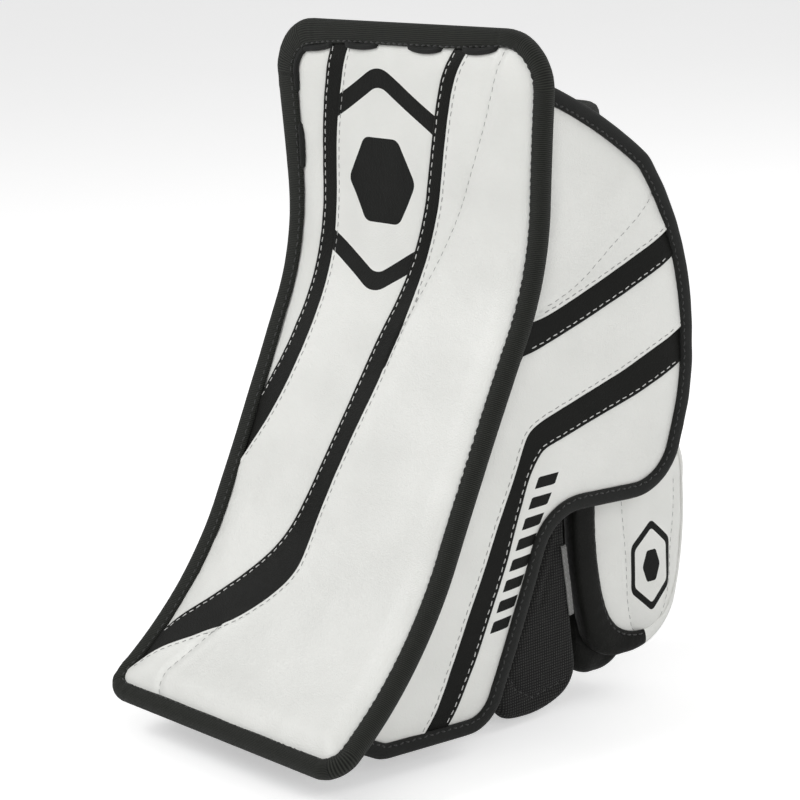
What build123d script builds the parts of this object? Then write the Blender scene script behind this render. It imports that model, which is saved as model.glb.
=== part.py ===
from build123d import *
import os
from math import cos, radians, sin, tan

# Goalie blocker for one hand, in millimetres. X runs across the board, with the thumb side at +X.
# The strike face looks along -Y, the hand is behind it at +Y, and the fingers point down.
# The origin is on the strike face, at the middle of its flat upper part.

# Board, measured down its strike face from the top edge
UPPER_LENGTH = 83.0        # flat upper part
UPPER_RADIUS = 135.0       # first forward bend
UPPER_BEND = 27.0          # degrees
MIDDLE_LENGTH = 110.0      # flat middle part
LOWER_RADIUS = 205.0       # second forward bend, to the bottom edge
LOWER_BEND = 33.5          # degrees
TOP_HALF_WIDTH = 99.8
WAIST_HALF_WIDTH = 88.2
BOTTOM_HALF_WIDTH = 91.2
TOP_CORNER_RADIUS = 28.0
BOTTOM_CORNER_RADIUS = 16.0
EDGE_FRONT = -0.9          # the edge tape stands this far in front of the strike face
EDGE_REAR = 6.2            # depth of the thin edge's rear face
CORE_INSET = 17.0          # the thick core stops this far inside the edge
BOARD_REAR = 21.2          # depth of the core cover's outer face

# Sewn construction
GAP = 0.1                  # clearance between layers that touch
SKIN = 1.2                 # cover thickness
TAPE = 1.8                 # binding tape, folded double
LIP = 11.0                 # width of binding seen on a face
SIDE_LIP = 8.5
THUMB_LIP = 7.0
PANEL_GAP = 0.15           # half of the gap that a seam leaves between two panels

# Side board: a flat padded wing behind the board's thumb-side edge
SIDE_X = 84.0              # where its outer face crosses the plane of the upper strike face
SIDE_FLARE = 10.0          # degrees that it opens outward
SIDE_THICKNESS = 14.0
SIDE_GAP = 1.4             # clearance from the back of the board's edge
SIDE_ROOM = 7.5            # room beside the core for the side board to flex

# Hand: a padded glove, tilted forward at the fingers
HAND_X = -8.5              # centre line of the four fingers
HAND_TILT = 14.0           # degrees
WRIST_Y = 32.0
WRIST_DROP = 120.0         # wrist line below the board's top edge
HAND_WIDTH = 99.0
HAND_THICKNESS = 44.0
HAND_WALL = 4.0
HAND_SEAM = 34.0           # depth where the back of the glove meets its palm
CUFF_OVERLAP = 18.0        # length of glove inside the cuff
KNUCKLE = 98.0             # wrist line to knuckle hinges
CURL_DEPTH = 20.0          # hinge line below the back of the hand
KNUCKLE_BEND = 60.0        # degrees
MIDDLE_JOINT_BEND = 66.0   # degrees

# Fingers, from the thumb side: name, proximal length, distal length
FINGERS = (
    ("index", 44.0, 46.0),
    ("middle", 48.0, 52.0),
    ("ring", 45.0, 48.0),
    ("little", 38.0, 38.0),
)
FINGER_PITCH = 23.5
FINGER_WIDTH = 22.0
FINGER_TOP = 6.0           # depth of a finger's back below the back of the hand
FINGER_THICKNESS = 28.0
FINGER_WALL = 2.5
HINGE_GAP = 0.6            # half of the gap at a finger hinge

# Cuff around the wrist
CUFF_WIDTH = 122.0
CUFF_FRONT = 23.2
CUFF_DEPTH = 74.0
CUFF_WALL = 7.0
CUFF_CORNER = 25.0
CUFF_TOP_DROP = 48.0
CUFF_SLIT = (-8.0, 22.0)   # opening across the inside of the wrist

# Strap that closes the cuff
STRAP_TOP_DROP = 78.0
STRAP_WIDTH = 28.0
STRAP_HINGE_X = 30.5
STRAP_THICKNESS = 2.0
PATCH_DEPTH = (46.0, 80.0) # hook and loop patches on the outer side of the cuff

# Thumb and its guard
THUMB_X = 69.0
THUMB_FLARE = 8.0          # degrees
THUMB_GUARD_THICKNESS = 10.0
STALL_THICKNESS = 23.0

# Index side guard
INDEX_GUARD_X = 68.0
INDEX_GUARD_FLARE = 5.0    # degrees
INDEX_GUARD_THICKNESS = 9.0

FAR = 400.0                # beyond the whole object, for cutting shapes

TOP_Z = UPPER_LENGTH / 2
SLOPE_1 = radians(UPPER_BEND)
SLOPE_2 = radians(UPPER_BEND + LOWER_BEND)
BEND_1_START = UPPER_LENGTH
BEND_1_END = BEND_1_START + UPPER_RADIUS * SLOPE_1
BEND_2_START = BEND_1_END + MIDDLE_LENGTH
BOARD_LENGTH = BEND_2_START + LOWER_RADIUS * (SLOPE_2 - SLOPE_1)


# ---------------------------------------------------------------- board surface

def face_station(distance):
    """Point (y, z) and slope of the strike face, this far down it from the top edge."""
    if distance <= BEND_1_START:
        return 0.0, TOP_Z - distance, 0.0
    z_1 = TOP_Z - UPPER_LENGTH
    if distance <= BEND_1_END:
        slope = (distance - BEND_1_START) / UPPER_RADIUS
        return UPPER_RADIUS * (cos(slope) - 1), z_1 - UPPER_RADIUS * sin(slope), slope
    y_2 = UPPER_RADIUS * (cos(SLOPE_1) - 1)
    z_2 = z_1 - UPPER_RADIUS * sin(SLOPE_1)
    along = min(distance - BEND_1_END, MIDDLE_LENGTH)
    y_3 = y_2 - along * sin(SLOPE_1)
    z_3 = z_2 - along * cos(SLOPE_1)
    if distance <= BEND_2_START:
        return y_3, z_3, SLOPE_1
    slope = SLOPE_1 + (distance - BEND_2_START) / LOWER_RADIUS
    y = y_3 + LOWER_RADIUS * (cos(slope) - cos(SLOPE_1))
    z = z_3 - LOWER_RADIUS * (sin(slope) - sin(SLOPE_1))
    return y, z, slope


def board_point(distance, depth):
    """Point (y, z) this far down the face and this deep behind it."""
    y, z, slope = face_station(distance)
    return y + depth * cos(slope), z - depth * sin(slope)


BOTTOM_Z = board_point(BOARD_LENGTH, BOARD_REAR)[1]


def board_curve(depth, inset):
    """The side profile at one depth, from the top down, as a list of curves."""
    bend_1_middle = (BEND_1_START + BEND_1_END) / 2
    bend_2_middle = (BEND_2_START + BOARD_LENGTH) / 2
    distances = (inset, BEND_1_START, bend_1_middle, BEND_1_END,
                 BEND_2_START, bend_2_middle, BOARD_LENGTH - inset)
    p = [board_point(distance, depth) for distance in distances]
    return [Line(p[0], p[1]), ThreePointArc(p[1], p[2], p[3]),
            Line(p[3], p[4]), ThreePointArc(p[4], p[5], p[6])]


def front_outline(inset):
    """Waisted outline of the board, seen from the front."""
    waist_z = face_station(BOARD_LENGTH / 2)[1]
    top = TOP_Z + 1
    bottom = BOTTOM_Z - 1
    right = ThreePointArc((TOP_HALF_WIDTH - inset, top), (WAIST_HALF_WIDTH - inset, waist_z),
                          (BOTTOM_HALF_WIDTH - inset, bottom))
    left = right.mirror(Plane.YZ)
    closers = [Line(right @ 0, left @ 0), Line(right @ 1, left @ 1)]
    return make_face([right, left] + closers)


def board_blank(front, back, inset):
    """The board's full outline between two depths, pulled in from its edge by inset."""
    ends = [Line(board_point(inset, front), board_point(inset, back)),
            Line(board_point(BOARD_LENGTH - inset, front), board_point(BOARD_LENGTH - inset, back))]
    section = make_face(board_curve(front, inset) + board_curve(back, inset) + ends)
    strip = extrude(Plane.YZ * section, amount=TOP_HALF_WIDTH + 5, both=True)
    blank = strip & extrude(Plane.XZ * front_outline(inset), amount=FAR, both=True)
    thickness = back - front
    corners = [edge for edge in blank.edges()
               if abs(edge.length - thickness) < 0.05 * thickness
               and abs(edge.center().X) > WAIST_HALF_WIDTH - inset - 5]
    for radius, above in ((TOP_CORNER_RADIUS, True), (BOTTOM_CORNER_RADIUS, False)):
        pair = [edge for edge in blank.edges() for corner in corners
                if (edge.center() - corner.center()).length < 1e-3 and (edge.center().Z > 0) == above]
        blank = fillet(pair, max(radius - inset, 3))
    return blank


def ahead_of_board(depth):
    """Everything in front of a surface at this depth behind the strike face, for cutting."""
    curve = board_curve(depth, 0)
    top = curve[0] @ 0
    bottom = curve[-1] @ 1
    end = (bottom.X - FAR * sin(SLOPE_2), bottom.Y - FAR * cos(SLOPE_2))
    closing = Polyline((top.X, top.Y), (top.X, FAR), (-2 * FAR, FAR), (-2 * FAR, end[1]), end,
                       (bottom.X, bottom.Y))
    return extrude(Plane.YZ * make_face(curve + [closing]), amount=FAR, both=True)


# ---------------------------------------------------------------- board pieces

def seam_line(points, shift):
    """Curve in the front view through (x, distance down the face) points, moved in x by shift."""
    return Spline([(x + shift, face_station(distance)[1]) for x, distance in points])


def board_stripe(left, right, grow):
    """Prism that holds one stripe of the board's cover."""
    sides = [seam_line(left, -grow), seam_line(right, grow)]
    ends = [Line(sides[0] @ 0, sides[1] @ 0), Line(sides[0] @ 1, sides[1] @ 1)]
    return extrude(Plane.XZ * make_face(sides + ends), amount=FAR, both=True)


OUTER_STRIPE_LEFT = ((-50, 0), (-59, 42), (-63, 108), (-65, 150), (-75, 193), (-97, 232))
OUTER_STRIPE_RIGHT = ((-36, 0), (-47, 41), (-52, 107), (-56, 176), (-67, 215), (-97, 264))
INNER_STRIPE_LEFT = ((41, 0), (30, 24), (18, 75), (6, 127), (-4, 169), (-18, 244), (-26, 269), (-46, 297),
                     (-77, 334), (-107, 368))
INNER_STRIPE_RIGHT = ((52, 0), (40, 23), (28, 74), (17, 126), (10, 167), (-3, 236), (-6, 266), (-7.5, 283),
                      (-15.5, 298), (-41, 325), (-66, 344), (-79, 358), (-107, 392))


def board_cover():
    """Three white panels and the two black stripes between them."""
    blank = board_blank(0, SKIN, LIP + GAP)
    stripes = {"outer": (OUTER_STRIPE_LEFT, OUTER_STRIPE_RIGHT),
               "inner": (INNER_STRIPE_LEFT, INNER_STRIPE_RIGHT)}
    pieces = {}
    panels = blank
    for name, (left, right) in stripes.items():
        pieces[f"board_stripe_{name}"] = blank & board_stripe(left, right, -PANEL_GAP)
        panels -= board_stripe(left, right, PANEL_GAP)
    ordered = sorted(panels.solids(), key=lambda solid: solid.center().X)
    for name, solid in zip(("outer", "center", "inner"), ordered):
        pieces[f"board_panel_{name}"] = solid
    return pieces


def board_binding():
    """Folded tape around the whole edge, open towards the middle of the board."""
    tape = board_blank(EDGE_FRONT, EDGE_REAR, 0)
    channel = board_blank(EDGE_FRONT + TAPE, EDGE_REAR - TAPE, TAPE)
    window = board_blank(EDGE_FRONT - 5, EDGE_REAR + 5, LIP)
    return tape - channel - window


def board_edge_laces():
    """Lace stitches that hold the binding along the top and the upper outer edge."""
    radius = 1.3
    length = 16.0
    depth = EDGE_FRONT - radius - GAP
    stitches = []
    for x in (-66, -32, 14, 52):
        y, z = board_point(LIP - 2, depth)
        stitches.append(Pos(x, y, z) * Rot(0, 90, 0) * Cylinder(radius, length))
    for drop in (28, 62):
        y, z = board_point(drop, depth)
        half_width = TOP_HALF_WIDTH - LIP + 2 - 3 * (drop / UPPER_LENGTH)
        stitches.append(Pos(-half_width, y, z) * Cylinder(radius, length))
    return Compound(children=stitches)


def beside_core():
    """Space that the side board needs beside the thick core."""
    inner_face = SIDE.offset(-(SIDE_THICKNESS + SIDE_ROOM))
    return extrude(inner_face * Rectangle(2 * FAR, 2 * FAR), amount=FAR)


def board_core():
    """Thin foam and a stiff sheet inside the edge, then a thick foam core with its cover behind them."""
    edge = TAPE + GAP
    sheet_front = 2.9
    sheet_rear = EDGE_REAR - TAPE - GAP
    room = beside_core()
    return {
        "board_front_foam": board_blank(SKIN + GAP, sheet_front - GAP, edge),
        "board_plate": board_blank(sheet_front, sheet_rear, edge),
        "board_back_sheet": board_blank(sheet_rear + GAP, EDGE_REAR, LIP + GAP),
        "board_core_foam": board_blank(EDGE_REAR + GAP, BOARD_REAR - SKIN - GAP, CORE_INSET) - room,
        "board_core_cover": board_blank(BOARD_REAR - SKIN, BOARD_REAR, CORE_INSET) - room,
    }


# ---------------------------------------------------------------- side board

def wing_plane(x, flare):
    """Upright plane whose local x runs back, local y runs up and normal faces outward."""
    angle = radians(flare)
    return Plane(origin=(x, 0, 0), x_dir=(sin(angle), cos(angle), 0), z_dir=(cos(angle), -sin(angle), 0))


SIDE = wing_plane(SIDE_X, SIDE_FLARE)
THUMB = wing_plane(THUMB_X, THUMB_FLARE)
INDEX_GUARD = wing_plane(INDEX_GUARD_X, INDEX_GUARD_FLARE)


def down(points):
    """(depth, drop below the board's top edge) points, as (x, y) in an upright plane."""
    return [(depth, TOP_Z - drop) for depth, drop in points]


def arc(*points):
    """Arc through three (depth, drop) points."""
    return ThreePointArc(*down(points))


def side_outline():
    """Rounded wrist flap above, narrow index-finger side below, and a notch between them."""
    crown = arc((-30, 10), (27, 33.5), (73, 66))
    shoulder = arc((73, 66), (92.5, 107), (100, 161))
    rear = arc((100, 161), (98.5, 188), (92, 213))
    heel = arc((92, 213), (81.5, 232), (63, 240))
    under = Line(down([(63, 240), (27, 239)]))
    notch = arc((27, 239), (12.5, 244), (4, 256))
    stem = arc((4, 256), (-10, 292), (-24, 325))
    toe = arc((-24, 325), (-30.5, 335), (-43, 341))
    front = Polyline(down([(-43, 341), (-96, 341), (-130, 322), (-170, 300), (-170, 10), (-30, 10)]))
    return make_face([crown, shoulder, rear, heel, under, notch, stem, toe, front])


def wing_layer(plane, outline, front, back, inset):
    """One layer of a padded panel between two depths behind its outer face."""
    shape = offset(outline, -inset) if inset else outline
    return extrude(plane.offset(-back) * shape, amount=back - front)


def side_layer(front, back, inset, clearance=SIDE_GAP):
    layer = wing_layer(SIDE, side_outline(), front, back, inset)
    return layer - ahead_of_board(EDGE_REAR + clearance)


def side_stripe(top, bottom, grow):
    """Prism that holds one stripe of the side board's cover."""
    upper = Polyline([(x, y + grow) for x, y in down(top)])
    lower = Polyline([(x, y - grow) for x, y in down(bottom)])
    ends = [Line(upper @ 0, lower @ 0), Line(upper @ 1, lower @ 1)]
    return extrude(SIDE * make_face([upper, lower] + ends), amount=20, both=True)


UPPER_STRIPE = (((-27, 148), (23, 131), (64, 114), (113, 91)),
                ((-27, 162), (23, 145), (64, 129), (113, 106)))
LOWER_STRIPE = (((-87, 363), (-60, 312), (-32, 251), (-8, 197), (0, 190), (52, 173), (113, 147)),
                ((-73, 363), (-41, 302), (-21, 257), (-5, 213), (1, 203), (59, 186), (113, 165)))


def side_cover():
    """White panels and black stripes of the side board, from the top down."""
    blank = side_layer(0, SKIN, SIDE_LIP + GAP)
    pieces = {}
    panels = blank
    for name, (top, bottom) in (("upper", UPPER_STRIPE), ("lower", LOWER_STRIPE)):
        pieces[f"side_stripe_{name}"] = blank & side_stripe(top, bottom, -PANEL_GAP)
        panels -= side_stripe(top, bottom, PANEL_GAP)
    ordered = sorted(panels.solids(), key=lambda solid: -solid.center().Z)
    for name, solid in zip(("top", "middle", "lower"), ordered):
        pieces[f"side_panel_{name}"] = solid
    return pieces


def side_binding():
    tape = side_layer(-0.8, SIDE_THICKNESS + 0.8, 0)
    channel = side_layer(-0.8 + TAPE, SIDE_THICKNESS + 0.8 - TAPE, TAPE, clearance=0)
    window = side_layer(-5, SIDE_THICKNESS + 5, SIDE_LIP, clearance=0)
    return tape - channel - window


def side_core():
    edge = TAPE + GAP
    return {
        "side_foam": side_layer(SKIN + GAP, 7.8, edge),
        "side_plate": side_layer(7.9, 9.4, 12),
        "side_lining": side_layer(9.5, SIDE_THICKNESS - TAPE, edge),
    }


# ---------------------------------------------------------------- hand

def hand_plane():
    """Local x across the hand, y down towards the fingers, z from the back of the hand to the palm."""
    tilt = radians(HAND_TILT)
    return Plane(origin=(HAND_X, WRIST_Y, TOP_Z - WRIST_DROP), x_dir=(1, 0, 0),
                 z_dir=(0, cos(tilt), -sin(tilt)))


HAND = hand_plane()


def hand_prism(points, x_from, x_to):
    """Prism across the hand from a (y, z) outline in the hand's own plane."""
    section = make_face(Polyline(points, close=True))
    return Pos(x_from, 0, 0) * extrude(Plane.YZ * section, amount=x_to - x_from)


def hinge_wedge(y, bend, towards):
    """Wedge that clears a finger hinge on the palm side; towards is -1 above the hinge and 1 below it."""
    reach = 60.0
    spread = reach * tan(radians(bend / 2 + 1)) * towards
    points = [(y, CURL_DEPTH), (y + spread, CURL_DEPTH + reach), (y - towards, CURL_DEPTH + reach),
              (y - towards, CURL_DEPTH)]
    return hand_prism(points, -80, 80)


def hand_box(x, y, z):
    """Box in the hand's plane from three (low, high) pairs."""
    size = [high - low for low, high in (x, y, z)]
    centre = [(high + low) / 2 for low, high in (x, y, z)]
    return Pos(*centre) * Box(*size)


def hand_tube(wall_from, wall_to):
    """Rounded tube around the hand between two wall depths, from inside the cuff to the knuckles."""
    length = CUFF_OVERLAP + KNUCKLE - HINGE_GAP
    shapes = [RectangleRounded(HAND_WIDTH - 2 * wall, HAND_THICKNESS - 2 * wall, 14 - wall)
              for wall in (wall_from, wall_to)]
    ring = Plane.XZ * (shapes[0] - shapes[1])
    tube = extrude(ring, amount=-length)
    tube = Pos(0, -CUFF_OVERLAP, HAND_THICKNESS / 2) * tube
    thumb_hole = hand_box((HAND_WIDTH / 2 - 12, HAND_WIDTH / 2 + 5), (48, 84), (20, 36))
    return tube - thumb_hole - hinge_wedge(KNUCKLE, KNUCKLE_BEND, -1)


def glove_back():
    tube = hand_tube(0, HAND_WALL)
    return HAND * (tube & hand_box((-60, 60), (-60, 120), (-5, HAND_SEAM)))


def glove_palm():
    tube = hand_tube(0, HAND_WALL - 1)
    return HAND * (tube & hand_box((-60, 60), (-60, 120), (HAND_SEAM + GAP, 60)))


def palm_patch():
    """Second layer of suede over the middle of the palm."""
    patch = hand_box((-34, 34), (12, 80), (HAND_THICKNESS + GAP, HAND_THICKNESS + 1.3))
    return HAND * fillet(patch.edges().filter_by(Axis.Z), 12)


def hand_riser_pad():
    """Foam wedge that fills the space between the board and the back of the hand."""
    block = hand_box((-45, 45), (6, 94), (-60, -0.3))
    block = fillet(block.edges().filter_by(Axis.Z), 12)
    return HAND * block - ahead_of_board(BOARD_REAR + GAP)


def finger_x(index):
    return (1.5 - index) * FINGER_PITCH


def finger_section(inset):
    return RectangleRounded(FINGER_WIDTH - 2 * inset, FINGER_THICKNESS - 2 * inset, 8 - inset)


def finger_segment(index, start, end, open_end):
    """Hollow segment of one finger between two places along the hand."""
    middle = FINGER_TOP + FINGER_THICKNESS / 2
    outer = extrude(Plane.XZ * finger_section(0), amount=-(end - start))
    if not open_end:
        outer = fillet(outer.edges().group_by(Axis.Y)[-1], 7)
    hollow_length = end - start if open_end else end - start - 4
    hollow = extrude(Plane.XZ * finger_section(FINGER_WALL), amount=-hollow_length)
    return Pos(finger_x(index), start, middle) * (outer - hollow)


def finger_proximal(index, proximal_length):
    segment = finger_segment(index, KNUCKLE + HINGE_GAP, KNUCKLE + proximal_length - HINGE_GAP, True)
    segment -= hinge_wedge(KNUCKLE, KNUCKLE_BEND, 1)
    segment -= hinge_wedge(KNUCKLE + proximal_length, MIDDLE_JOINT_BEND, -1)
    return HAND * segment


def finger_distal(index, proximal_length, distal_length):
    middle_joint = KNUCKLE + proximal_length
    segment = finger_segment(index, middle_joint + HINGE_GAP, middle_joint + distal_length, False)
    return HAND * (segment - hinge_wedge(middle_joint, MIDDLE_JOINT_BEND, 1))


def little_finger_guard():
    pad = hand_box((-HAND_WIDTH / 2 - 8, -HAND_WIDTH / 2 - 0.5), (50, 172), (4, 40))
    pad = fillet(pad.edges().filter_by(Axis.X), 15)
    return HAND * pad


# ---------------------------------------------------------------- index guard

def index_guard_outline():
    front = Polyline(down([(33, 206), (12, 206), (26, 248), (-11, 328)]))
    tip = arc((-11, 328), (-14, 340), (-2, 346))
    bottom = arc((-2, 346), (12, 347), (26, 343))
    heel = arc((26, 343), (34.5, 337), (35.5, 324))
    rear = Line(down([(35.5, 324), (32, 264)]))
    top = Line(down([(32, 264), (33, 206)]))
    return make_face([front, tip, bottom, heel, rear, top])


def index_guard():
    """Padded mesh side of the index finger, with a tape strip along its palm side."""
    tape = Polyline(down([(31, 264), (34.5, 324), (31, 324), (27.5, 264)]), close=True)
    return {
        "index_guard_pad": wing_layer(INDEX_GUARD, index_guard_outline(), 0, INDEX_GUARD_THICKNESS, 0),
        "index_guard_tape": extrude(INDEX_GUARD.offset(GAP) * make_face(tape), amount=SKIN),
    }


def side_gusset():
    """Fabric bridge from the glove to the index guard."""
    plate = hand_box((HAND_WIDTH / 2 + 0.4, 67.0), (74, 94), (4, 7))
    return HAND * plate


# ---------------------------------------------------------------- thumb

def thumb_outline():
    """Upright rounded plate, narrower at the thumb's tip."""
    corners = ((39, 224), (45, 313), (69, 329), (104, 308), (111, 242), (93, 209), (48, 208), (39, 224))
    middles = ((38, 271), (53, 325), (89, 325), (110, 278), (106, 219), (70, 205), (41, 213))
    return make_face([arc(start, middle, end)
                      for start, middle, end in zip(corners, middles, corners[1:])])


def thumb_guard():
    """Padded plate on the outer side of the thumb, bound in tape."""
    outline = thumb_outline()
    edge = TAPE + GAP
    back = THUMB_GUARD_THICKNESS
    tape = wing_layer(THUMB, outline, -0.6, back + 0.6, 0)
    channel = wing_layer(THUMB, outline, -0.6 + TAPE, back + 0.6 - TAPE, TAPE)
    window = wing_layer(THUMB, outline, -3, back + 3, THUMB_LIP)
    return {
        "thumb_guard_cover": wing_layer(THUMB, outline, 0, SKIN, THUMB_LIP + GAP),
        "thumb_guard_foam": wing_layer(THUMB, outline, SKIN + GAP, back - SKIN - GAP, edge),
        "thumb_guard_lining": wing_layer(THUMB, outline, back - SKIN, back, THUMB_LIP + GAP),
        "thumb_guard_binding": tape - channel - window,
    }


def thumb_stall():
    """Closed-end sleeve for the thumb, open upwards and towards the palm."""
    depth = (55.0, 95.0)
    drop = (208.0, 317.0)
    front = THUMB_GUARD_THICKNESS + 0.8
    wall = 2.5
    width = depth[1] - depth[0]
    section = RectangleRounded(width, STALL_THICKNESS, 9)
    hollow = RectangleRounded(width - 2 * wall, STALL_THICKNESS - 2 * wall, 9 - wall)
    length = drop[1] - drop[0]
    outer = extrude(section, amount=-length)
    outer = fillet(outer.edges().group_by(Axis.Z)[0], 8)
    inner = extrude(hollow, amount=-(length - 4))
    mouth = Pos(0, -STALL_THICKNESS / 2, -17) * Box(width - 16, 8, 26)
    sleeve = outer - inner - mouth
    top = Plane(origin=THUMB.from_local_coords((sum(depth) / 2, TOP_Z - drop[0], -front - STALL_THICKNESS / 2)),
                x_dir=THUMB.x_dir, z_dir=(0, 0, 1))
    return top * sleeve


# ---------------------------------------------------------------- cuff and strap

def cuff_ring(inner, outer, top_drop, bottom_drop):
    """Upright ring around the wrist, from one offset outside the cuff's face to another."""
    sections = []
    for grow in (outer, inner):
        sections.append(RectangleRounded(CUFF_WIDTH + 2 * grow, CUFF_DEPTH + 2 * grow, CUFF_CORNER + grow))
    ring = extrude(sections[0] - sections[1], amount=bottom_drop - top_drop)
    return Pos(HAND_X, CUFF_FRONT + CUFF_DEPTH / 2, TOP_Z - bottom_drop) * ring


def world_box(x, y, z):
    size = [high - low for low, high in (x, y, z)]
    centre = [(high + low) / 2 for low, high in (x, y, z)]
    return Pos(*centre) * Box(*size)


def cuff_slit(margin):
    low, high = CUFF_SLIT
    return world_box((low - margin, high + margin), (CUFF_FRONT + CUFF_DEPTH / 2, FAR), (-FAR, FAR))


def above_wrist(shape):
    """Mitre the lower end of a cuff piece to the wrist line of the tilted hand."""
    return shape - HAND * hand_box((-FAR, FAR), (-1.5, FAR), (-FAR, FAR))


def cuff():
    """Padded cuff with lining inside and tape on its rim, open across the inside of the wrist."""
    bottom_drop = 150.0
    pad = cuff_ring(-CUFF_WALL, 0, CUFF_TOP_DROP, bottom_drop)
    lining = cuff_ring(-CUFF_WALL - GAP - 1.2, -CUFF_WALL - GAP, CUFF_TOP_DROP, bottom_drop)
    tape = cuff_ring(-CUFF_WALL - 2.4, 1.0, CUFF_TOP_DROP - 1.3, CUFF_TOP_DROP + 8)
    channel = cuff_ring(-CUFF_WALL - GAP - 1.3, GAP, CUFF_TOP_DROP - GAP, CUFF_TOP_DROP + 20)
    return {
        "cuff_pad": above_wrist(pad - cuff_slit(0)),
        "cuff_lining": above_wrist(lining - cuff_slit(0)),
        "cuff_binding": tape - channel - cuff_slit(0),
    }


def strap():
    """Wrist strap, sewn down at one end and closed by hook and loop on the outer side of the cuff."""
    top = STRAP_TOP_DROP
    bottom = STRAP_TOP_DROP + STRAP_WIDTH
    patch_zone = world_box((-FAR, HAND_X - CUFF_WIDTH / 2 + 3), PATCH_DEPTH, (-FAR, FAR))
    strap_zone = world_box((-FAR, STRAP_HINGE_X - 1), (PATCH_DEPTH[0] + 4, FAR), (-FAR, FAR))
    strap_zone -= world_box((HAND_X, FAR), (-FAR, PATCH_DEPTH[1] - 10), (-FAR, FAR))
    anchor_zone = world_box((STRAP_HINGE_X + 1.7, STRAP_HINGE_X + 12), (PATCH_DEPTH[1], FAR), (-FAR, FAR))
    outside = 2.1 + STRAP_THICKNESS
    return {
        "strap_loop_patch": cuff_ring(0.1, 1.0, top + 1, bottom - 1) & patch_zone,
        "strap_hook_patch": cuff_ring(1.1, 2.0, top + 2, bottom - 2) & patch_zone,
        "wrist_strap": cuff_ring(2.1, outside, top, bottom) & strap_zone,
        "strap_anchor": cuff_ring(0.1, outside, top - 1, bottom + 1) & anchor_zone,
    }


# ---------------------------------------------------------------- assembly

def all_pieces():
    pieces = {}
    pieces.update(board_core())
    pieces.update(board_cover())
    pieces["board_binding"] = board_binding()
    pieces["board_edge_laces"] = board_edge_laces()
    pieces.update(side_core())
    pieces.update(side_cover())
    pieces["side_binding"] = side_binding()
    pieces["hand_riser_pad"] = hand_riser_pad()
    pieces["glove_back"] = glove_back()
    pieces["glove_palm"] = glove_palm()
    pieces["palm_patch"] = palm_patch()
    pieces["little_finger_guard"] = little_finger_guard()
    pieces["side_gusset"] = side_gusset()
    pieces.update(index_guard())
    for index, (name, proximal_length, distal_length) in enumerate(FINGERS):
        pieces[f"{name}_finger_proximal"] = finger_proximal(index, proximal_length)
        pieces[f"{name}_finger_distal"] = finger_distal(index, proximal_length, distal_length)
    pieces["thumb_stall"] = thumb_stall()
    pieces.update(thumb_guard())
    pieces.update(cuff())
    pieces.update(strap())
    return pieces


os.makedirs("parts", exist_ok=True)
for node, shape in all_pieces().items():
    export_step(shape, f"parts/{node}.step")
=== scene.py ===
from math import atan2, cos, pi, radians, sin, tan

import bmesh
import bpy
import numpy as np
from mathutils import Matrix, Vector, noise
from mathutils.bvhtree import BVHTree
from mathutils.geometry import delaunay_2d_cdt


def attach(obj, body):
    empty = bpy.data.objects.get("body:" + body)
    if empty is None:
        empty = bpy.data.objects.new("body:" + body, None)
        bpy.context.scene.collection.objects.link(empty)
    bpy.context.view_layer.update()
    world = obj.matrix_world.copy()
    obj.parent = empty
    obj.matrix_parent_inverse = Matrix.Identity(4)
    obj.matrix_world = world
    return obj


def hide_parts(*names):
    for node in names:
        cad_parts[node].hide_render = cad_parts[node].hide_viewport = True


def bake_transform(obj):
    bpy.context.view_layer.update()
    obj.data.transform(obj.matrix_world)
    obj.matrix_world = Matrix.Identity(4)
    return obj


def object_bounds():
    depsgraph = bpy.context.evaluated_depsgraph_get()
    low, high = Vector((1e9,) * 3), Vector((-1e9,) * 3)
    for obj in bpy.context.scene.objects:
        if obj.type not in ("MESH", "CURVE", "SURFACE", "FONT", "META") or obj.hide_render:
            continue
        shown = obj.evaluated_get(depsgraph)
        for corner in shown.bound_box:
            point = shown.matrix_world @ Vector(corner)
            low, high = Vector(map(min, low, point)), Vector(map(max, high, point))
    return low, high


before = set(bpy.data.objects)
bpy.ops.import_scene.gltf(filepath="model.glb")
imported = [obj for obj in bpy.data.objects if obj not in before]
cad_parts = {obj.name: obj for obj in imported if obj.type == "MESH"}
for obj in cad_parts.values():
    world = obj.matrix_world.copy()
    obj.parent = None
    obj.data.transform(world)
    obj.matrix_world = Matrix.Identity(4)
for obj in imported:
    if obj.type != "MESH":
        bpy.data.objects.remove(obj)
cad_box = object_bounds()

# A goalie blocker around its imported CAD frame. Lengths are in millimetres until a mesh is made.
# X runs across the board (thumb side +X), the strike face looks along -Y, and the fingers point down.

MM = 0.001

# Board, as in the CAD: distances run down the strike face from its top edge
UPPER_LENGTH = 83.0
UPPER_RADIUS = 135.0
UPPER_BEND = radians(27.0)
MIDDLE_LENGTH = 110.0
LOWER_RADIUS = 205.0
LOWER_BEND = radians(33.5)
TOP_Z = UPPER_LENGTH / 2
BEND_1_END = UPPER_LENGTH + UPPER_RADIUS * UPPER_BEND
BEND_2_START = BEND_1_END + MIDDLE_LENGTH
BOARD_LENGTH = BEND_2_START + LOWER_RADIUS * LOWER_BEND
TOP_HALF_WIDTH = 99.8
WAIST_HALF_WIDTH = 88.2
BOTTOM_HALF_WIDTH = 91.2
TOP_CORNER_RADIUS = 28.0
BOTTOM_CORNER_RADIUS = 16.0
EDGE_REAR = 6.2
BOARD_REAR = 21.2
CORE_INSET = 17.0
LIP = 11.0                 # width of the edge tape on the face
CORNER_POINTS = 14

# Side board
SIDE_X = 84.0
SIDE_FLARE = radians(10.0)
SIDE_THICKNESS = 14.0
SIDE_LIP = 8.5
SIDE_GAP = 1.4
SIDE_ROOM = 7.5            # free space between the core of the board and the side board

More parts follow.
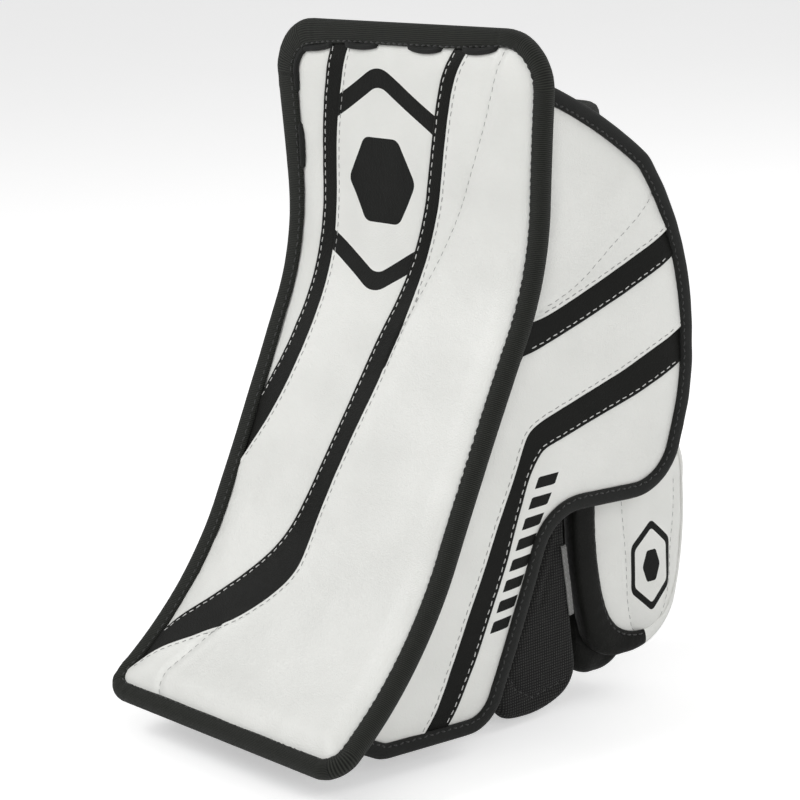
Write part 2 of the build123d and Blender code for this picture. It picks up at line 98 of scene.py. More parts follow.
# Hand
HAND_X = -8.5
HAND_TILT = radians(14.0)
WRIST_Y = 32.0
WRIST_DROP = 120.0
HAND_WIDTH = 99.0
HAND_THICKNESS = 44.0
KNUCKLE = 98.0
CURL_DEPTH = 20.0
FINGERS = (("index", 44.0, 46.0), ("middle", 48.0, 52.0), ("ring", 45.0, 48.0), ("little", 38.0, 38.0))
FINGER_PITCH = 23.5
FINGER_WIDTH = 22.0
CUFF_OVERLAP = 17.0        # how far the glove body reaches up into the cuff

# Cuff and strap
CUFF_WIDTH = 122.0
CUFF_FRONT = 23.2
CUFF_DEPTH = 74.0
CUFF_MIDDLE = (HAND_X, CUFF_FRONT + CUFF_DEPTH / 2)
CUFF_TOP = TOP_Z - 48.0
CUFF_SLIT = (-8.0, 22.0)
CUFF_COLUMNS = 150
CUFF_QUILT = (0.36, 0.68)  # its two rows of stitches, as shares of its height
STRAP_TOP_DROP = 78.0
STRAP_WIDTH = 28.0
STRAP_Z = TOP_Z - STRAP_TOP_DROP - STRAP_WIDTH / 2


# ---------------------------------------------------------------- materials

class Shader:
    """A node material built up one node at a time."""

    def __init__(self, name):
        self.material = bpy.data.materials.new(name)
        self.material.use_nodes = True
        self.nodes = self.material.node_tree.nodes
        self.links = self.material.node_tree.links
        self.surface = self.nodes["Principled BSDF"]

    def add(self, kind, inputs=None, **settings):
        node = self.nodes.new(kind)
        for key, value in settings.items():
            setattr(node, key, value)
        for key, value in (inputs or {}).items():
            self.set(node.inputs[key], value)
        return node

    def set(self, target, value):
        if isinstance(value, bpy.types.NodeSocket):
            self.links.new(value, target)
        else:
            target.default_value = value

    def math(self, operation, a, b=0.0, c=0.0):
        return self.add("ShaderNodeMath", {0: a, 1: b, 2: c}, operation=operation).outputs[0]

    def mix(self, factor, a, b):
        node = self.add("ShaderNodeMix", data_type="RGBA")
        for index, value in ((0, factor), (6, a), (7, b)):
            self.set(node.inputs[index], value)
        return node.outputs[2]

    def place(self, source="Object", scale=(1, 1, 1), rotation=(0, 0, 0)):
        coordinates = self.add("ShaderNodeTexCoord").outputs[source]
        return self.add("ShaderNodeMapping", {"Vector": coordinates, "Scale": scale,
                                              "Rotation": rotation}).outputs[0]

    def noise(self, vector, scale, detail=3.0, roughness=0.5):
        return self.add("ShaderNodeTexNoise", {"Vector": vector, "Scale": scale, "Detail": detail,
                                               "Roughness": roughness}).outputs[0]

    def cells(self, vector, scale, feature="F1"):
        return self.add("ShaderNodeTexVoronoi", {"Vector": vector, "Scale": scale},
                        feature=feature).outputs["Distance"]

    def bands(self, vector, scale, direction="X", distortion=0.0):
        return self.add("ShaderNodeTexWave", {"Vector": vector, "Scale": scale, "Distortion": distortion},
                        bands_direction=direction).outputs[1]

    def ramp(self, value, low, high, to_low=0.0, to_high=1.0):
        return self.add("ShaderNodeMapRange", {0: value, 1: low, 2: high, 3: to_low, 4: to_high}).outputs[0]

    def bump(self, *layers):
        """Layers are (height socket, strength, distance in mm), the broadest first."""
        normal = None
        for height, strength, distance in layers:
            node = self.add("ShaderNodeBump", {"Height": height, "Strength": strength,
                                               "Distance": distance * MM})
            if normal is not None:
                self.links.new(normal, node.inputs["Normal"])
            normal = node.outputs[0]
        self.links.new(normal, self.surface.inputs["Normal"])

    def finish(self, color, roughness, **more):
        self.set(self.surface.inputs["Base Color"], color)
        self.set(self.surface.inputs["Roughness"], roughness)
        names = {"sheen": "Sheen Weight", "coat": "Coat Weight", "specular": "Specular IOR Level",
                 "sheen_roughness": "Sheen Roughness"}
        for key, value in more.items():
            self.set(self.surface.inputs[names[key]], value)
        return self.material


def rgb(r, g, b):
    return (r, g, b, 1.0)


ONE_BAND = 0.314           # scale of the wave texture that repeats once per unit


def leather(name, color, shade, roughness, grain=0.16, gloss=0.45):
    """Synthetic leather: fine pebble grain, faint short creases, broad soft dents with painted shade in their
    sunken parts, and slight scuffs.
    """
    s = Shader(name)
    place = s.place()
    pebble = s.cells(place, 1300.0)
    fine = s.noise(place, 3200.0, 2.0)
    crease = s.noise(s.place(scale=(1, 1, 0.5)), 420.0, 3.0, 0.5)
    dent = s.noise(place, 32.0, 2.0, 0.4)
    scuff = s.ramp(s.noise(place, 95.0, 6.0, 0.7), 0.60, 0.78)
    # painted shade: the colour goes to the shade tone where the broad dents sink; the scuffs darken it at
    # random as wear
    tone = s.mix(s.ramp(dent, 0.3, 0.7), shade, color)
    tone = s.mix(s.math("MULTIPLY", scuff, 0.2), tone, shade)
    rough = s.math("ADD", roughness, s.math("MULTIPLY", s.noise(place, 240.0, 3.0), 0.12))
    s.bump((dent, 0.3, 1.8), (crease, 0.35, 0.45), (pebble, grain * 2, 0.4), (fine, grain, 0.2))
    return s.finish(tone, rough, specular=gloss)


def ribbed_tape(name, color, light, direction="X", period=1.0):
    """Woven tape: raised ribs along or across its length, with fine threads in each rib."""
    s = Shader(name)
    place = s.place("UV")
    rib = s.bands(place, ONE_BAND / period, direction, 0.35)
    thread = s.bands(place, 1.1 / period, "Y" if direction == "X" else "X", 0.6)
    dust = s.noise(s.place(), 150.0, 5.0, 0.7)
    # painted shade and highlight: the rib grooves are darker and the rib tops lighter; the dust lightens the
    # tape at random
    tone = s.mix(s.ramp(rib, 0.1, 0.9), color, light)
    tone = s.mix(s.math("MULTIPLY", s.ramp(dust, 0.5, 0.8), 0.35), tone, light)
    s.bump((s.noise(s.place(), 90.0, 3.0), 0.12, 0.8), (rib, 0.55, 0.45), (thread, 0.35, 0.16))
    return s.finish(tone, s.math("ADD", 0.66, s.math("MULTIPLY", dust, 0.2)), sheen=0.05, specular=0.18)


def woven(name, color, light, pitch, depth=0.5, sheen=0.2):
    """Plain weave of threads, pitch in millimetres."""
    s = Shader(name)
    place = s.place("UV")
    scale = ONE_BAND / pitch
    warp = s.bands(place, scale, "X", 0.3)
    weft = s.bands(place, scale, "Y", 0.3)
    cross = s.math("MULTIPLY", warp, weft)
    dust = s.noise(s.place(), 160.0, 5.0, 0.65)
    # painted shade: darker between the thread crossings and lighter on them; the dust lightens it at random
    tone = s.mix(s.ramp(cross, 0.05, 0.75), color, light)
    tone = s.mix(s.math("MULTIPLY", s.ramp(dust, 0.5, 0.8), 0.3), tone, light)
    s.bump((s.noise(s.place(), 70.0, 4.0), 0.2, 1.0), (cross, 0.7, depth),
           (s.noise(place, scale * 6), 0.2, 0.1))
    rough = s.math("ADD", 0.72, s.math("MULTIPLY", dust, 0.18))
    return s.finish(tone, rough, sheen=sheen * 0.3, specular=0.22)


def thread(name, color, shade):
    """Twisted sewing thread."""
    s = Shader(name)
    place = s.place("UV", rotation=(0, 0, 0.6))
    twist = s.bands(place, 0.9, "X", 0.5)
    s.bump((twist, 0.5, 0.2))
    # painted shade: the grooves of the twist are darker
    return s.finish(s.mix(twist, shade, color), 0.62, sheen=0.2)


def hook_and_loop():
    s = Shader("hook_and_loop")
    place = s.place()
    fuzz = s.noise(place, 3000.0, 4.0, 0.8)
    hooks = s.cells(place, 900.0)
    s.bump((hooks, 0.7, 0.5), (fuzz, 0.8, 0.3))
    return s.finish(s.mix(fuzz, rgb(0.01, 0.01, 0.01), rgb(0.045, 0.045, 0.045)), 0.9, sheen=0.6)


def stiff_sheet():
    s = Shader("stiff_sheet")
    haze = s.noise(s.place(), 60.0, 5.0)
    s.bump((s.noise(s.place(), 900.0), 0.15, 0.2))
    tone = s.mix(haze, rgb(0.50, 0.50, 0.48), rgb(0.62, 0.62, 0.60))
    return s.finish(tone, s.math("ADD", 0.38, s.math("MULTIPLY", haze, 0.15)))


WHITE_LEATHER = leather("white_leather", rgb(0.80, 0.803, 0.772), rgb(0.755, 0.758, 0.728), 0.33)
BLACK_LEATHER = leather("black_leather", rgb(0.0085, 0.0088, 0.0076), rgb(0.006, 0.0062, 0.0054),
                        0.42, 0.22, 0.14)
BLACK_PRINT = leather("black_print", rgb(0.010, 0.0105, 0.0095), rgb(0.008, 0.0082, 0.0076),
                      0.46, 0.16, 0.14)
SIDE_RIB_TAPE = ribbed_tape("side_rib_tape", rgb(0.0055, 0.006, 0.005), rgb(0.030, 0.032, 0.027), "X", 0.95)
LONG_RIB_TAPE = ribbed_tape("long_rib_tape", rgb(0.0055, 0.006, 0.005), rgb(0.029, 0.031, 0.026), "Y", 0.9)
SMOOTH_TAPE = woven("smooth_tape", rgb(0.009, 0.0095, 0.009), rgb(0.024, 0.025, 0.023), 0.6, 0.15)
MESH_FABRIC = woven("mesh_fabric", rgb(0.005, 0.005, 0.005), rgb(0.034, 0.035, 0.032), 1.5, 0.7)
NYLON = woven("black_nylon", rgb(0.008, 0.0083, 0.008), rgb(0.026, 0.027, 0.025), 0.9, 0.3)
KNIT = woven("lining_knit", rgb(0.010, 0.010, 0.010), rgb(0.040, 0.040, 0.039), 1.8, 0.5, 0.5)
SUEDE = leather("palm_suede", rgb(0.40, 0.39, 0.37), rgb(0.30, 0.29, 0.275), 0.78, 0.10)
GREY_TAPE = woven("grey_tape", rgb(0.16, 0.16, 0.155), rgb(0.33, 0.33, 0.32), 0.8, 0.2)
WHITE_THREAD = thread("white_thread", rgb(0.78, 0.78, 0.76), rgb(0.55, 0.55, 0.53))
GREY_THREAD = thread("grey_thread", rgb(0.42, 0.42, 0.41), rgb(0.25, 0.25, 0.245))
BLACK_THREAD = thread("black_thread", rgb(0.030, 0.031, 0.029), rgb(0.012, 0.012, 0.012))
HOOK_AND_LOOP = hook_and_loop()
STIFF_SHEET = stiff_sheet()


# ---------------------------------------------------------------- meshes

def make_mesh(name, points, faces, materials, uv=None, face_material=None):
    """Mesh object from points in millimetres; uv is one (u, v) per point."""
    mesh = bpy.data.meshes.new(name)
    places = [tuple(p) for p in np.asarray(points, float) * MM]
    mesh.from_pydata(places, [], [tuple(map(int, f)) for f in faces])
    if uv is not None:
        layer = mesh.uv_layers.new(name="UVMap")
        corner = np.zeros(len(mesh.loops), np.int32)
        mesh.loops.foreach_get("vertex_index", corner)
        layer.data.foreach_set("uv", np.asarray(uv, np.float32)[corner].ravel())
    for material in materials:
        mesh.materials.append(material)
    if face_material is not None:
        mesh.polygons.foreach_set("material_index", np.asarray(face_material, np.int32))
    mesh.polygons.foreach_set("use_smooth", np.ones(len(mesh.polygons), bool))
    mesh.validate()
    mesh.update()
    piece = bpy.data.objects.new(name, mesh)
    bpy.context.scene.collection.objects.link(piece)
    return piece


def dress(piece, body, replaced=()):
    """Attach a finished piece to its body. body may instead be (body, next body, start, end): then the piece
    is only baked in place and attached to no body, and these four are not used.
    """
    if replaced:
        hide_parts(*replaced)
    if isinstance(body, str):
        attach(piece, body)
    else:
        first, second, start, end = body
        tuple(np.asarray(start) * MM)
        tuple(np.asarray(end) * MM)
        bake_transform(piece)


def unit(ways):
    """Each row scaled to length one."""
    return ways / np.maximum(np.linalg.norm(ways, axis=-1, keepdims=True), 1e-9)


def tangent(line):
    return unit(np.gradient(line, axis=0))


def travel(line):
    """Distance along a polyline at each of its points."""
    return np.concatenate([[0.0], np.cumsum(np.linalg.norm(np.diff(line, axis=0), axis=1))])


def closed_line(loop):
    return np.vstack([loop, loop[:1]])


def along_line(line, at):
    """Points of a polyline at these distances along it."""
    t = travel(line)
    return np.stack([np.interp(at, t, column) for column in line.T], 1)


def waver(x, y=0.0, z=0.0):
    """Smooth noise at each place; one coordinate may be an array and the others fixed."""
    return np.array([noise.noise(Vector(place)) for place in np.stack(np.broadcast_arrays(x, y, z), 1)])


def bell(distance, width):
    """Smooth bump of height one."""
    return np.exp(-(distance / width) ** 2)


def soft_step(x, middle, width):
    """Rises smoothly from 0 to 1 round the middle."""
    return 1 / (1 + np.exp(-(x - middle) / width))


def rounded(share):
    """Quarter of a sine: rises steeply from 0, ends level at 1."""
    return np.sin(np.clip(share, 0, 1) * pi / 2)


def neighbours(count):
    """Each place round a ring of points, with the next one."""
    return [(k, (k + 1) % count) for k in range(count)]


def grid_faces(rows, columns, wrap=False):
    """Quads over a grid of points stored row by row; wrap joins the last row to the first."""
    return [(i * columns + k, i * columns + k + 1, j * columns + k + 1, j * columns + k)
            for i, j in neighbours(rows)[:rows if wrap else -1] for k in range(columns - 1)]


def around(angle):
    """Points of the unit circle."""
    return np.stack([np.cos(angle), np.sin(angle)], 1)


def spline(points, step=2.0):
    """Natural cubic curve through points, as a polyline with about this step."""
    p = np.asarray(points, float)
    t = travel(p)
    length = np.diff(t)
    n = len(p)
    system = np.eye(n)
    right = np.zeros_like(p)
    for i in range(1, n - 1):
        system[i, i - 1:i + 2] = length[i - 1], 2 * (length[i - 1] + length[i]), length[i]
        right[i] = 6 * ((p[i + 1] - p[i]) / length[i] - (p[i] - p[i - 1]) / length[i - 1])
    bend = np.linalg.solve(system, right)
    at = np.linspace(0, t[-1], max(int(t[-1] / step), 2) + 1)
    i = np.clip(np.searchsorted(t, at, side="right") - 1, 0, n - 2)
    h = length[i][:, None]
    a = (t[i + 1] - at)[:, None] / h
    b = 1 - a
    curve = (a ** 3 - a) * bend[i] + (b ** 3 - b) * bend[i + 1]
    return a * p[i] + b * p[i + 1] + curve * h ** 2 / 6


def resample(line, step, closed=False):
    """Evenly spaced points along a line, at about this step; a closed one doesn't repeat its start."""
    line = np.asarray(line, float)
    if closed:
        line = closed_line(line)
    length = travel(line)[-1]
    at = np.linspace(0, length, max(int(round(length / step)), 2) + 1)
    return along_line(line, at[:-1] if closed else at)


def resample_count(line, count):
    return along_line(line, np.linspace(0, travel(line)[-1], count))


def circle_through(*three):
    """Centre and radius of the circle through three flat points."""
    a, b, c = np.asarray(three, float)
    centre = np.linalg.solve(2 * np.array([b - a, c - a]), np.array([b @ b - a @ a, c @ c - a @ a]))
    return centre, np.linalg.norm(a - centre)


def arc(start, middle, end, step=1.5):
    """Polyline along the circle arc through three points."""
    centre, radius = circle_through(start, middle, end)
    angle = [atan2(*(np.asarray(q) - centre)[::-1]) for q in (start, middle, end)]
    middle_turn = (angle[1] - angle[0]) % (2 * pi)
    turn = (angle[2] - angle[0]) % (2 * pi)
    if middle_turn > turn:
        turn -= 2 * pi
    sweep = angle[0] + np.linspace(0, turn, max(int(abs(turn) * radius / step), 3))
    return centre + radius * around(sweep)


def distance_to(points, line, closed=False):
    """Signed distance to a polyline; one that runs towards +y has its positive side at +x."""
    points = np.asarray(points, float)
    line = np.asarray(line, float)
    if closed:
        line = closed_line(line)
    start = line[:-1]
    way = np.diff(line, axis=0)
    square = np.maximum((way ** 2).sum(1), 1e-12)
    result = np.empty(len(points))
    for k in range(0, len(points), 2000):
        p = points[k:k + 2000]
        t = np.clip(((p[:, None] - start) * way).sum(2) / square, 0, 1)
        gap = p[:, None] - (start + t[..., None] * way)
        gap2 = (gap ** 2).sum(2)
        near = gap2.argmin(1)
        row = np.arange(len(p))
        side = way[near, 1] * gap[row, near, 0] - way[near, 0] * gap[row, near, 1]
        result[k:k + 2000] = np.sqrt(gap2[row, near]) * np.where(side >= 0, 1, -1)
    return result


def inside(points, loop):
    """True for each point inside a closed polyline."""
    points = np.asarray(points, float)
    a = np.asarray(loop, float)
    b = np.roll(a, -1, 0)
    result = np.zeros(len(points), bool)
    for k in range(0, len(points), 4000):
        x, y = points[k:k + 4000, 0][:, None], points[k:k + 4000, 1][:, None]
        straddles = (a[:, 1] > y) != (b[:, 1] > y)
        with np.errstate(divide="ignore", invalid="ignore"):
            cut = (b[:, 0] - a[:, 0]) * (y - a[:, 1]) / (b[:, 1] - a[:, 1]) + a[:, 0]
        result[k:k + 4000] = (straddles & (x < cut)).sum(1) % 2 == 1
    return result


def depth_in(points, loop):
    """Distance in from a closed outline, negative outside it."""
    return np.abs(distance_to(points, loop, closed=True)) * np.where(inside(points, loop), 1, -1)


def beside(line, distance):
    """A polyline moved sideways, towards its positive side as distance_to counts it."""
    line = np.asarray(line, float)
    way = tangent(line)
    return line + distance * np.stack([way[:, 1], -way[:, 0]], 1)


def triangulate(loop, lines=(), rings=(), spacing=2.4):
    """Triangles over the inside of a closed loop, following the loop, open lines and closed rings."""
    points, edges, count = [], [], 0
    for group, last in (((loop,), None), (lines, -1), (rings, None)):
        for line in group:
            points.append(np.asarray(line, float))
            edges += [(count + i, count + j) for i, j in neighbours(len(line))[:last]]
            count += len(line)
    fixed = np.vstack(points)
    low, high = np.min(loop, 0), np.max(loop, 0)
    rows = np.arange(low[1], high[1], spacing * 0.866)
    fill = np.array([(x, y) for i, y in enumerate(rows)
                     for x in np.arange(low[0] + (spacing / 2) * (i % 2), high[0], spacing)])
    fill = fill[inside(fill, loop)]
    cells = {tuple(q) for q in np.floor(fixed / spacing).astype(int)}
    near = np.array([any((i + a, j + b) in cells for a in (-1, 0, 1) for b in (-1, 0, 1))
                     for i, j in np.floor(fill / spacing).astype(int)], bool)
    close = fill[near]
    gap = np.full(len(close), np.inf)
    for k in range(0, len(close), 1000):
        gap[k:k + 1000] = np.sqrt(((close[k:k + 1000, None] - fixed) ** 2).sum(2).min(1))
    fill = np.vstack([fill[~near], close[gap > 0.55 * spacing]])
    every = np.vstack([fixed, fill])
    result = delaunay_2d_cdt([Vector(q) for q in every], edges, [], 0, 1e-4, False)
    points = np.array([tuple(q) for q in result[0]])
    faces = np.array([tuple(f) for f in result[2]], int)
    return points, faces[inside(points[faces].mean(1), loop)]


def pick(points, faces, keep):
    """The chosen faces with only their own points."""
    faces = faces[keep]
    used, flat = np.unique(faces, return_inverse=True)
    return points[used], flat.reshape(-1, 3)


def thicken(front, back, faces):
    """Closed shell from a front and a back sheet that share their faces."""
    count = len(front)
    rim = {}
    for a, b, c in faces:
        for edge in ((a, b), (b, c), (c, a)):
            if (edge[1], edge[0]) in rim:
                del rim[(edge[1], edge[0])]
            else:
                rim[edge] = True
    faces_all = [tuple(f) for f in faces] + [(c + count, b + count, a + count) for a, b, c in faces]
    faces_all += [(b, a, a + count, b + count) for a, b in rim]
    return np.vstack([front, back]), faces_all


def tufts(points, frequency, height, seed=0.0):
    """Slight unevenness at each flat point."""
    return height * waver(points[:, 0] * frequency + seed, points[:, 1] * frequency, seed)


# ---------------------------------------------------------------- stitching

def rod(centre, side, up, radius, along, sides):
    """Points, faces and uv of a round rod with closed ends; side and up span its section."""
    angle = np.arange(sides) * 2 * pi / sides
    section = side[:, None] * np.cos(angle)[:, None] + up[:, None] * np.sin(angle)[:, None]
    points = centre[:, None] + radius[:, None, None] * section
    count = len(centre)
    faces = [(i * sides + k, i * sides + m, (i + 1) * sides + m, (i + 1) * sides + k)
             for i in range(count - 1) for k, m in neighbours(sides)]
    faces += [tuple(range(sides))[::-1], tuple((count - 1) * sides + k for k in range(sides))]
    return points.reshape(-1, 3), faces, np.stack([np.repeat(along, sides), np.tile(angle, count)], 1)


def joined(parts):
    """Several (points, faces, uv) as one."""
    points, faces, uv, count = [], [], [], 0
    for own_points, own_faces, own_uv in parts:
        points.append(own_points)
        uv.append(own_uv)
        faces += [tuple(i + count for i in face) for face in own_faces]
        count += len(own_points)
    return np.vstack(points), faces, np.vstack(uv)


def stitch_row(path, up, length, gap, radius, sway=0.0, sink=0.25):
    """One row of stitches along a path, each a rod; up is the surface normal at each path point."""
    t = travel(path)
    along = np.linspace(0, 1, 5)
    swell = np.sqrt(np.maximum(1 - (2 * along - 1) ** 4, 0.02))
    rods = []
    for n, start in enumerate(np.arange(gap / 2, t[-1] - length, length + gap)):
        at = start + along * length
        centre, normal = (np.stack([np.interp(at, t, column) for column in rows.T], 1) for rows in (path, up))
        across = unit(np.cross(unit(centre[-1] - centre[0]), normal))
        tilt = sway * (along - 0.5) * (1 if n % 2 else -1)
        centre = centre + across * tilt[:, None] + normal * (radius * (swell - 1 - sink))[:, None]
        rods.append(rod(centre, across, normal, radius * swell, along * length, 6))
    return joined(rods)


def laid_on(piece, path, up, reach=9.0):
    """A path moved along its up directions onto the outer surface of a finished piece."""
    mesh = piece.data
    tree = BVHTree.FromPolygons([v.co for v in mesh.vertices], [tuple(p.vertices) for p in mesh.polygons])
    path = np.array(path, float)
    height = np.full(len(path), np.nan)
    for k, (spot, way) in enumerate(zip(path, up)):
        hit = tree.ray_cast(Vector((spot + reach * way) * MM), Vector(-way), 2 * reach * MM)[0]
        if hit is not None:
            height[k] = (np.array(hit) / MM - spot) @ way
    found = np.isfinite(height)
    if not found.any():
        return path
    height = np.interp(np.arange(len(path)), np.flatnonzero(found), height[found])
    calm = np.convolve(np.pad(height, 1, "edge"), (0.25, 0.5, 0.25), "valid")
    return path + np.maximum(calm, height)[:, None] * np.asarray(up, float)


def row_on(piece, path, up, stitch=None, reach=9.0):
    """A row for stitches(), laid on the outer surface of a finished piece."""
    return (laid_on(piece, path, up, reach), up, *(stitch or LINING_STITCH))


def stitches(name, rows, material, body):
    """One piece for several rows of stitches; each row is the arguments of stitch_row."""
    points, faces, uv = joined(stitch_row(*row) for row in rows)
    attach(make_mesh(name, points, faces, [material], uv), body)


# ---------------------------------------------------------------- board surface

def board_station(s):
    """(y, z, slope) of the strike face at distances s down it."""
    s = np.asarray(s, float)
    slope = np.clip((s - UPPER_LENGTH) / UPPER_RADIUS, 0, UPPER_BEND)
    middle = np.clip(s - BEND_1_END, 0, MIDDLE_LENGTH)
    lower = np.clip((s - BEND_2_START) / LOWER_RADIUS, 0, None)
    y = UPPER_RADIUS * (np.cos(slope) - 1) - middle * sin(UPPER_BEND)
    z = TOP_Z - np.minimum(s, UPPER_LENGTH) - UPPER_RADIUS * np.sin(slope) - middle * cos(UPPER_BEND)
    total = slope + lower
    y = y + LOWER_RADIUS * (np.cos(total) - np.cos(slope)) * (lower > 0)
    z = z - LOWER_RADIUS * (np.sin(total) - np.sin(slope)) * (lower > 0)
    return y, z, total


def board_xyz(q, rise):
    """Points at (x, distance down the face), this far in front of the strike face."""
    q = np.asarray(q, float)
    y, z, slope = board_station(q[:, 1])
    return np.stack([q[:, 0], y - rise * np.cos(slope), z + rise * np.sin(slope)], 1)


def board_normal(q):
    slope = board_station(np.asarray(q)[:, 1])[2]
    return np.stack([np.zeros(len(slope)), -np.cos(slope), np.sin(slope)], 1)


BOARD_BOTTOM_Z = float(board_xyz([(0, BOARD_LENGTH)], -BOARD_REAR)[0, 2])
WAIST_CENTRE, WAIST_RADIUS = circle_through(
    (TOP_HALF_WIDTH, TOP_Z + 1), (WAIST_HALF_WIDTH, float(board_station(BOARD_LENGTH / 2)[1])),
    (BOTTOM_HALF_WIDTH, BOARD_BOTTOM_Z - 1))


def half_width(s):
    z = board_station(s)[1]
    return WAIST_CENTRE[0] - np.sqrt(WAIST_RADIUS ** 2 - (z - WAIST_CENTRE[1]) ** 2)


def board_loop(inset, step=2.0):
    """Outline in (x, s) pulled in by inset, clockwise from the top left, of equal count for every inset."""
    parts, centres = [], []
    corners = ((-1, 0, TOP_CORNER_RADIUS, pi), (1, 0, TOP_CORNER_RADIUS, 1.5 * pi),
               (1, 1, BOTTOM_CORNER_RADIUS, 0), (-1, 1, BOTTOM_CORNER_RADIUS, 0.5 * pi))
    for side, end, radius, start in corners:
        s = BOARD_LENGTH - radius if end else radius
        centres.append((np.array([side * (half_width(s) - radius), s]), radius, start))
    lengths = (2 * TOP_HALF_WIDTH, BOARD_LENGTH, 2 * BOTTOM_HALF_WIDTH, BOARD_LENGTH)
    counts = [int(length / step) for length in lengths]
    for k, (centre, radius, start) in enumerate(centres):
        sweep = start + np.linspace(0, pi / 2, CORNER_POINTS)
        corner = centre + (radius - inset) * around(sweep)
        parts.append(corner)
        following, next_radius, next_start = centres[(k + 1) % len(centres)]
        end = following + (next_radius - inset) * np.array([cos(next_start), sin(next_start)])
        t = np.linspace(0, 1, counts[k] + 1)[1:-1, None]
        edge = corner[-1] * (1 - t) + end * t
        if k in (1, 3):
            side = 1 if k == 1 else -1
            miss = [side * q[0] - (half_width(q[1]) - inset) for q in (corner[-1], end)]
            edge[:, 0] = side * (half_width(edge[:, 1]) - inset + miss[0] * (1 - t[:, 0]) + miss[1] * t[:, 0])
        parts.append(edge)
    return np.vstack(parts)


def tape_loop(inset):
    """Board outline pulled in by inset: less at the thumb side, more at the gathered outer top corner."""
    edge = board_loop(0)
    x, s = edge.T
    thumb_side = soft_step(x, 55, 8)
    gathered = soft_step(-x, 62, 8) * soft_step(-s, -78, 14)
    bottom = soft_step(s, BOARD_LENGTH - 14, 4)
    share = 1 - 0.24 * np.maximum(thumb_side, 1.1 * bottom) + 0.36 * gathered
    return edge + (board_loop(inset) - edge) * share[:, None]


OUTER_STRIPE_LEFT = ((-50, 0), (-59, 42), (-63, 108), (-65, 150), (-75, 193), (-97, 232))
OUTER_STRIPE_RIGHT = ((-36, 0), (-47, 41), (-52, 107), (-56, 176), (-67, 215), (-97, 264))
INNER_STRIPE_LEFT = ((41, 0), (30, 24), (18, 75), (6, 127), (-4, 169), (-18, 244), (-26, 269), (-46, 297),
                     (-77, 334), (-107, 368))
INNER_STRIPE_RIGHT = ((52, 0), (40, 23), (28, 74), (17, 126), (10, 167), (-3, 236), (-6, 266), (-7.5, 283),
                      (-15.5, 298), (-41, 325), (-66, 344), (-79, 358), (-107, 392))
CREASE = ((74, -4), (68, 16), (35, 98), (14, 149), (9, 172))
LOWER_CREASE = ((-38, 323), (-43, 332), (-50, 347), (-53, 360), (-48, 370), (-40, 376))

BOARD_SEAMS = [spline(line) for line in (OUTER_STRIPE_LEFT, OUTER_STRIPE_RIGHT, INNER_STRIPE_LEFT,
                                         INNER_STRIPE_RIGHT)]
BOARD_CREASES = [spline(line) for line in (CREASE, LOWER_CREASE)]
BOARD_PIECES = [(f"board_{side}_{kind}", f"board_{kind}_{side}") for side, kind in
                (("outer", "panel"), ("outer", "stripe"), ("center", "panel"), ("inner", "stripe"),
                 ("inner", "panel"))]           # visual piece and CAD node, from the outer side to the thumb
BOARD_LIP_LOOP = tape_loop(LIP)
END_TAPE = 3.0             # the tape counts as on an end of the board within this distance
LACES_ALONG_TOP = (-63, -30, 16, 54)
LACES_DOWN_SIDE = (26, 66)
FOLD = 1.1                 # height of a folded leather edge over its neighbour
FOLD_RADIUS = 0.9
SEAM_SINK = 0.35
LEATHER = 1.0              # thickness
STITCH_INSET = 2.0         # topstitch distance from a folded edge
SEAM_STITCH = (4.0, 0.35, 0.36, 0.35)      # length, gap, radius and slant
CREASE_STITCH = (4.0, 0.5, 0.28, 0.3)
LINING_STITCH = (3.2, 1.2, 0.34, 0.2)


def fold_profile(d):
    """Rise of a folded edge: a round lip, then a slow fall; a slight sink on its other side."""
    lip = np.sqrt(np.clip(1 - (1 - np.clip(d, 0, FOLD_RADIUS) / FOLD_RADIUS) ** 2, 0, 1))
    lip *= np.exp(-np.clip(d - 1.5, 0, None) / 5.0)
    groove = -0.32 * bell(d - STITCH_INSET, 0.55)
    own_side = FOLD * lip + groove - SEAM_SINK * (d < 0.05)
    return np.where(d >= 0, own_side, -SEAM_SINK * np.exp(-np.clip(-d, 0, None) / 1.6))


def crease_profile(d):
    """Rise across a single row of stitches: a groove between two slight swells."""
    return 0.25 * bell(np.abs(d) - 3.5, 2.2) - 0.75 * bell(d, 1.1)


def board_rise(q):
    """Height of the cover in front of the strike face: padded middle, rolled edges, folded seams."""
    q = np.asarray(q, float)
    edge = depth_in(q, BOARD_LIP_LOOP)
    thumb_side = soft_step(q[:, 0], 0, 25)
    bottom = soft_step(q[:, 1], 300, 20)
    crown = 2.2 + 3.2 * np.maximum(thumb_side, bottom)
    rise = -1.6 + crown * rounded((edge + 2) / 17) ** 0.8
    for seam in BOARD_SEAMS:
        rise = rise + fold_profile(distance_to(q, seam))
    for crease in BOARD_CREASES:
        rise = rise + crease_profile(distance_to(q, crease))
    near = np.exp(-np.clip(edge, 0, None) / 7)
    wrinkles = tufts(q, 0.11, 0.14, 7.0) * (1 + 1.5 * near) + tufts(q, 0.33, 0.22, 9.0) * near
    return rise + tufts(q, 0.035, 0.45) + wrinkles


def hexagon(centre, radius, corner, turn=0.0, step=1.2):
    """Closed outline of a hexagon with rounded corners."""
    points = []
    reach = radius - corner / cos(pi / 6)
    for k in range(6):
        angle = turn + k * pi / 3
        middle = np.array(centre) + reach * np.array([cos(angle), sin(angle)])
        sweep = angle + np.linspace(-pi / 6, pi / 6, 7)
        points.append(middle + corner * around(sweep))
    return resample(np.vstack(points), step, closed=True)


EMBLEM_CENTRE = (-17.0, 79.0)
BOARD_EMBLEM = (hexagon(EMBLEM_CENTRE, 59, 16, pi / 6), hexagon(EMBLEM_CENTRE, 48.5, 11, pi / 6),
                hexagon(EMBLEM_CENTRE, 25, 6, 0))


def in_emblem(q, emblem):
    outer, inner, heart = emblem
    return (inside(q, outer) & ~inside(q, inner)) | inside(q, heart)


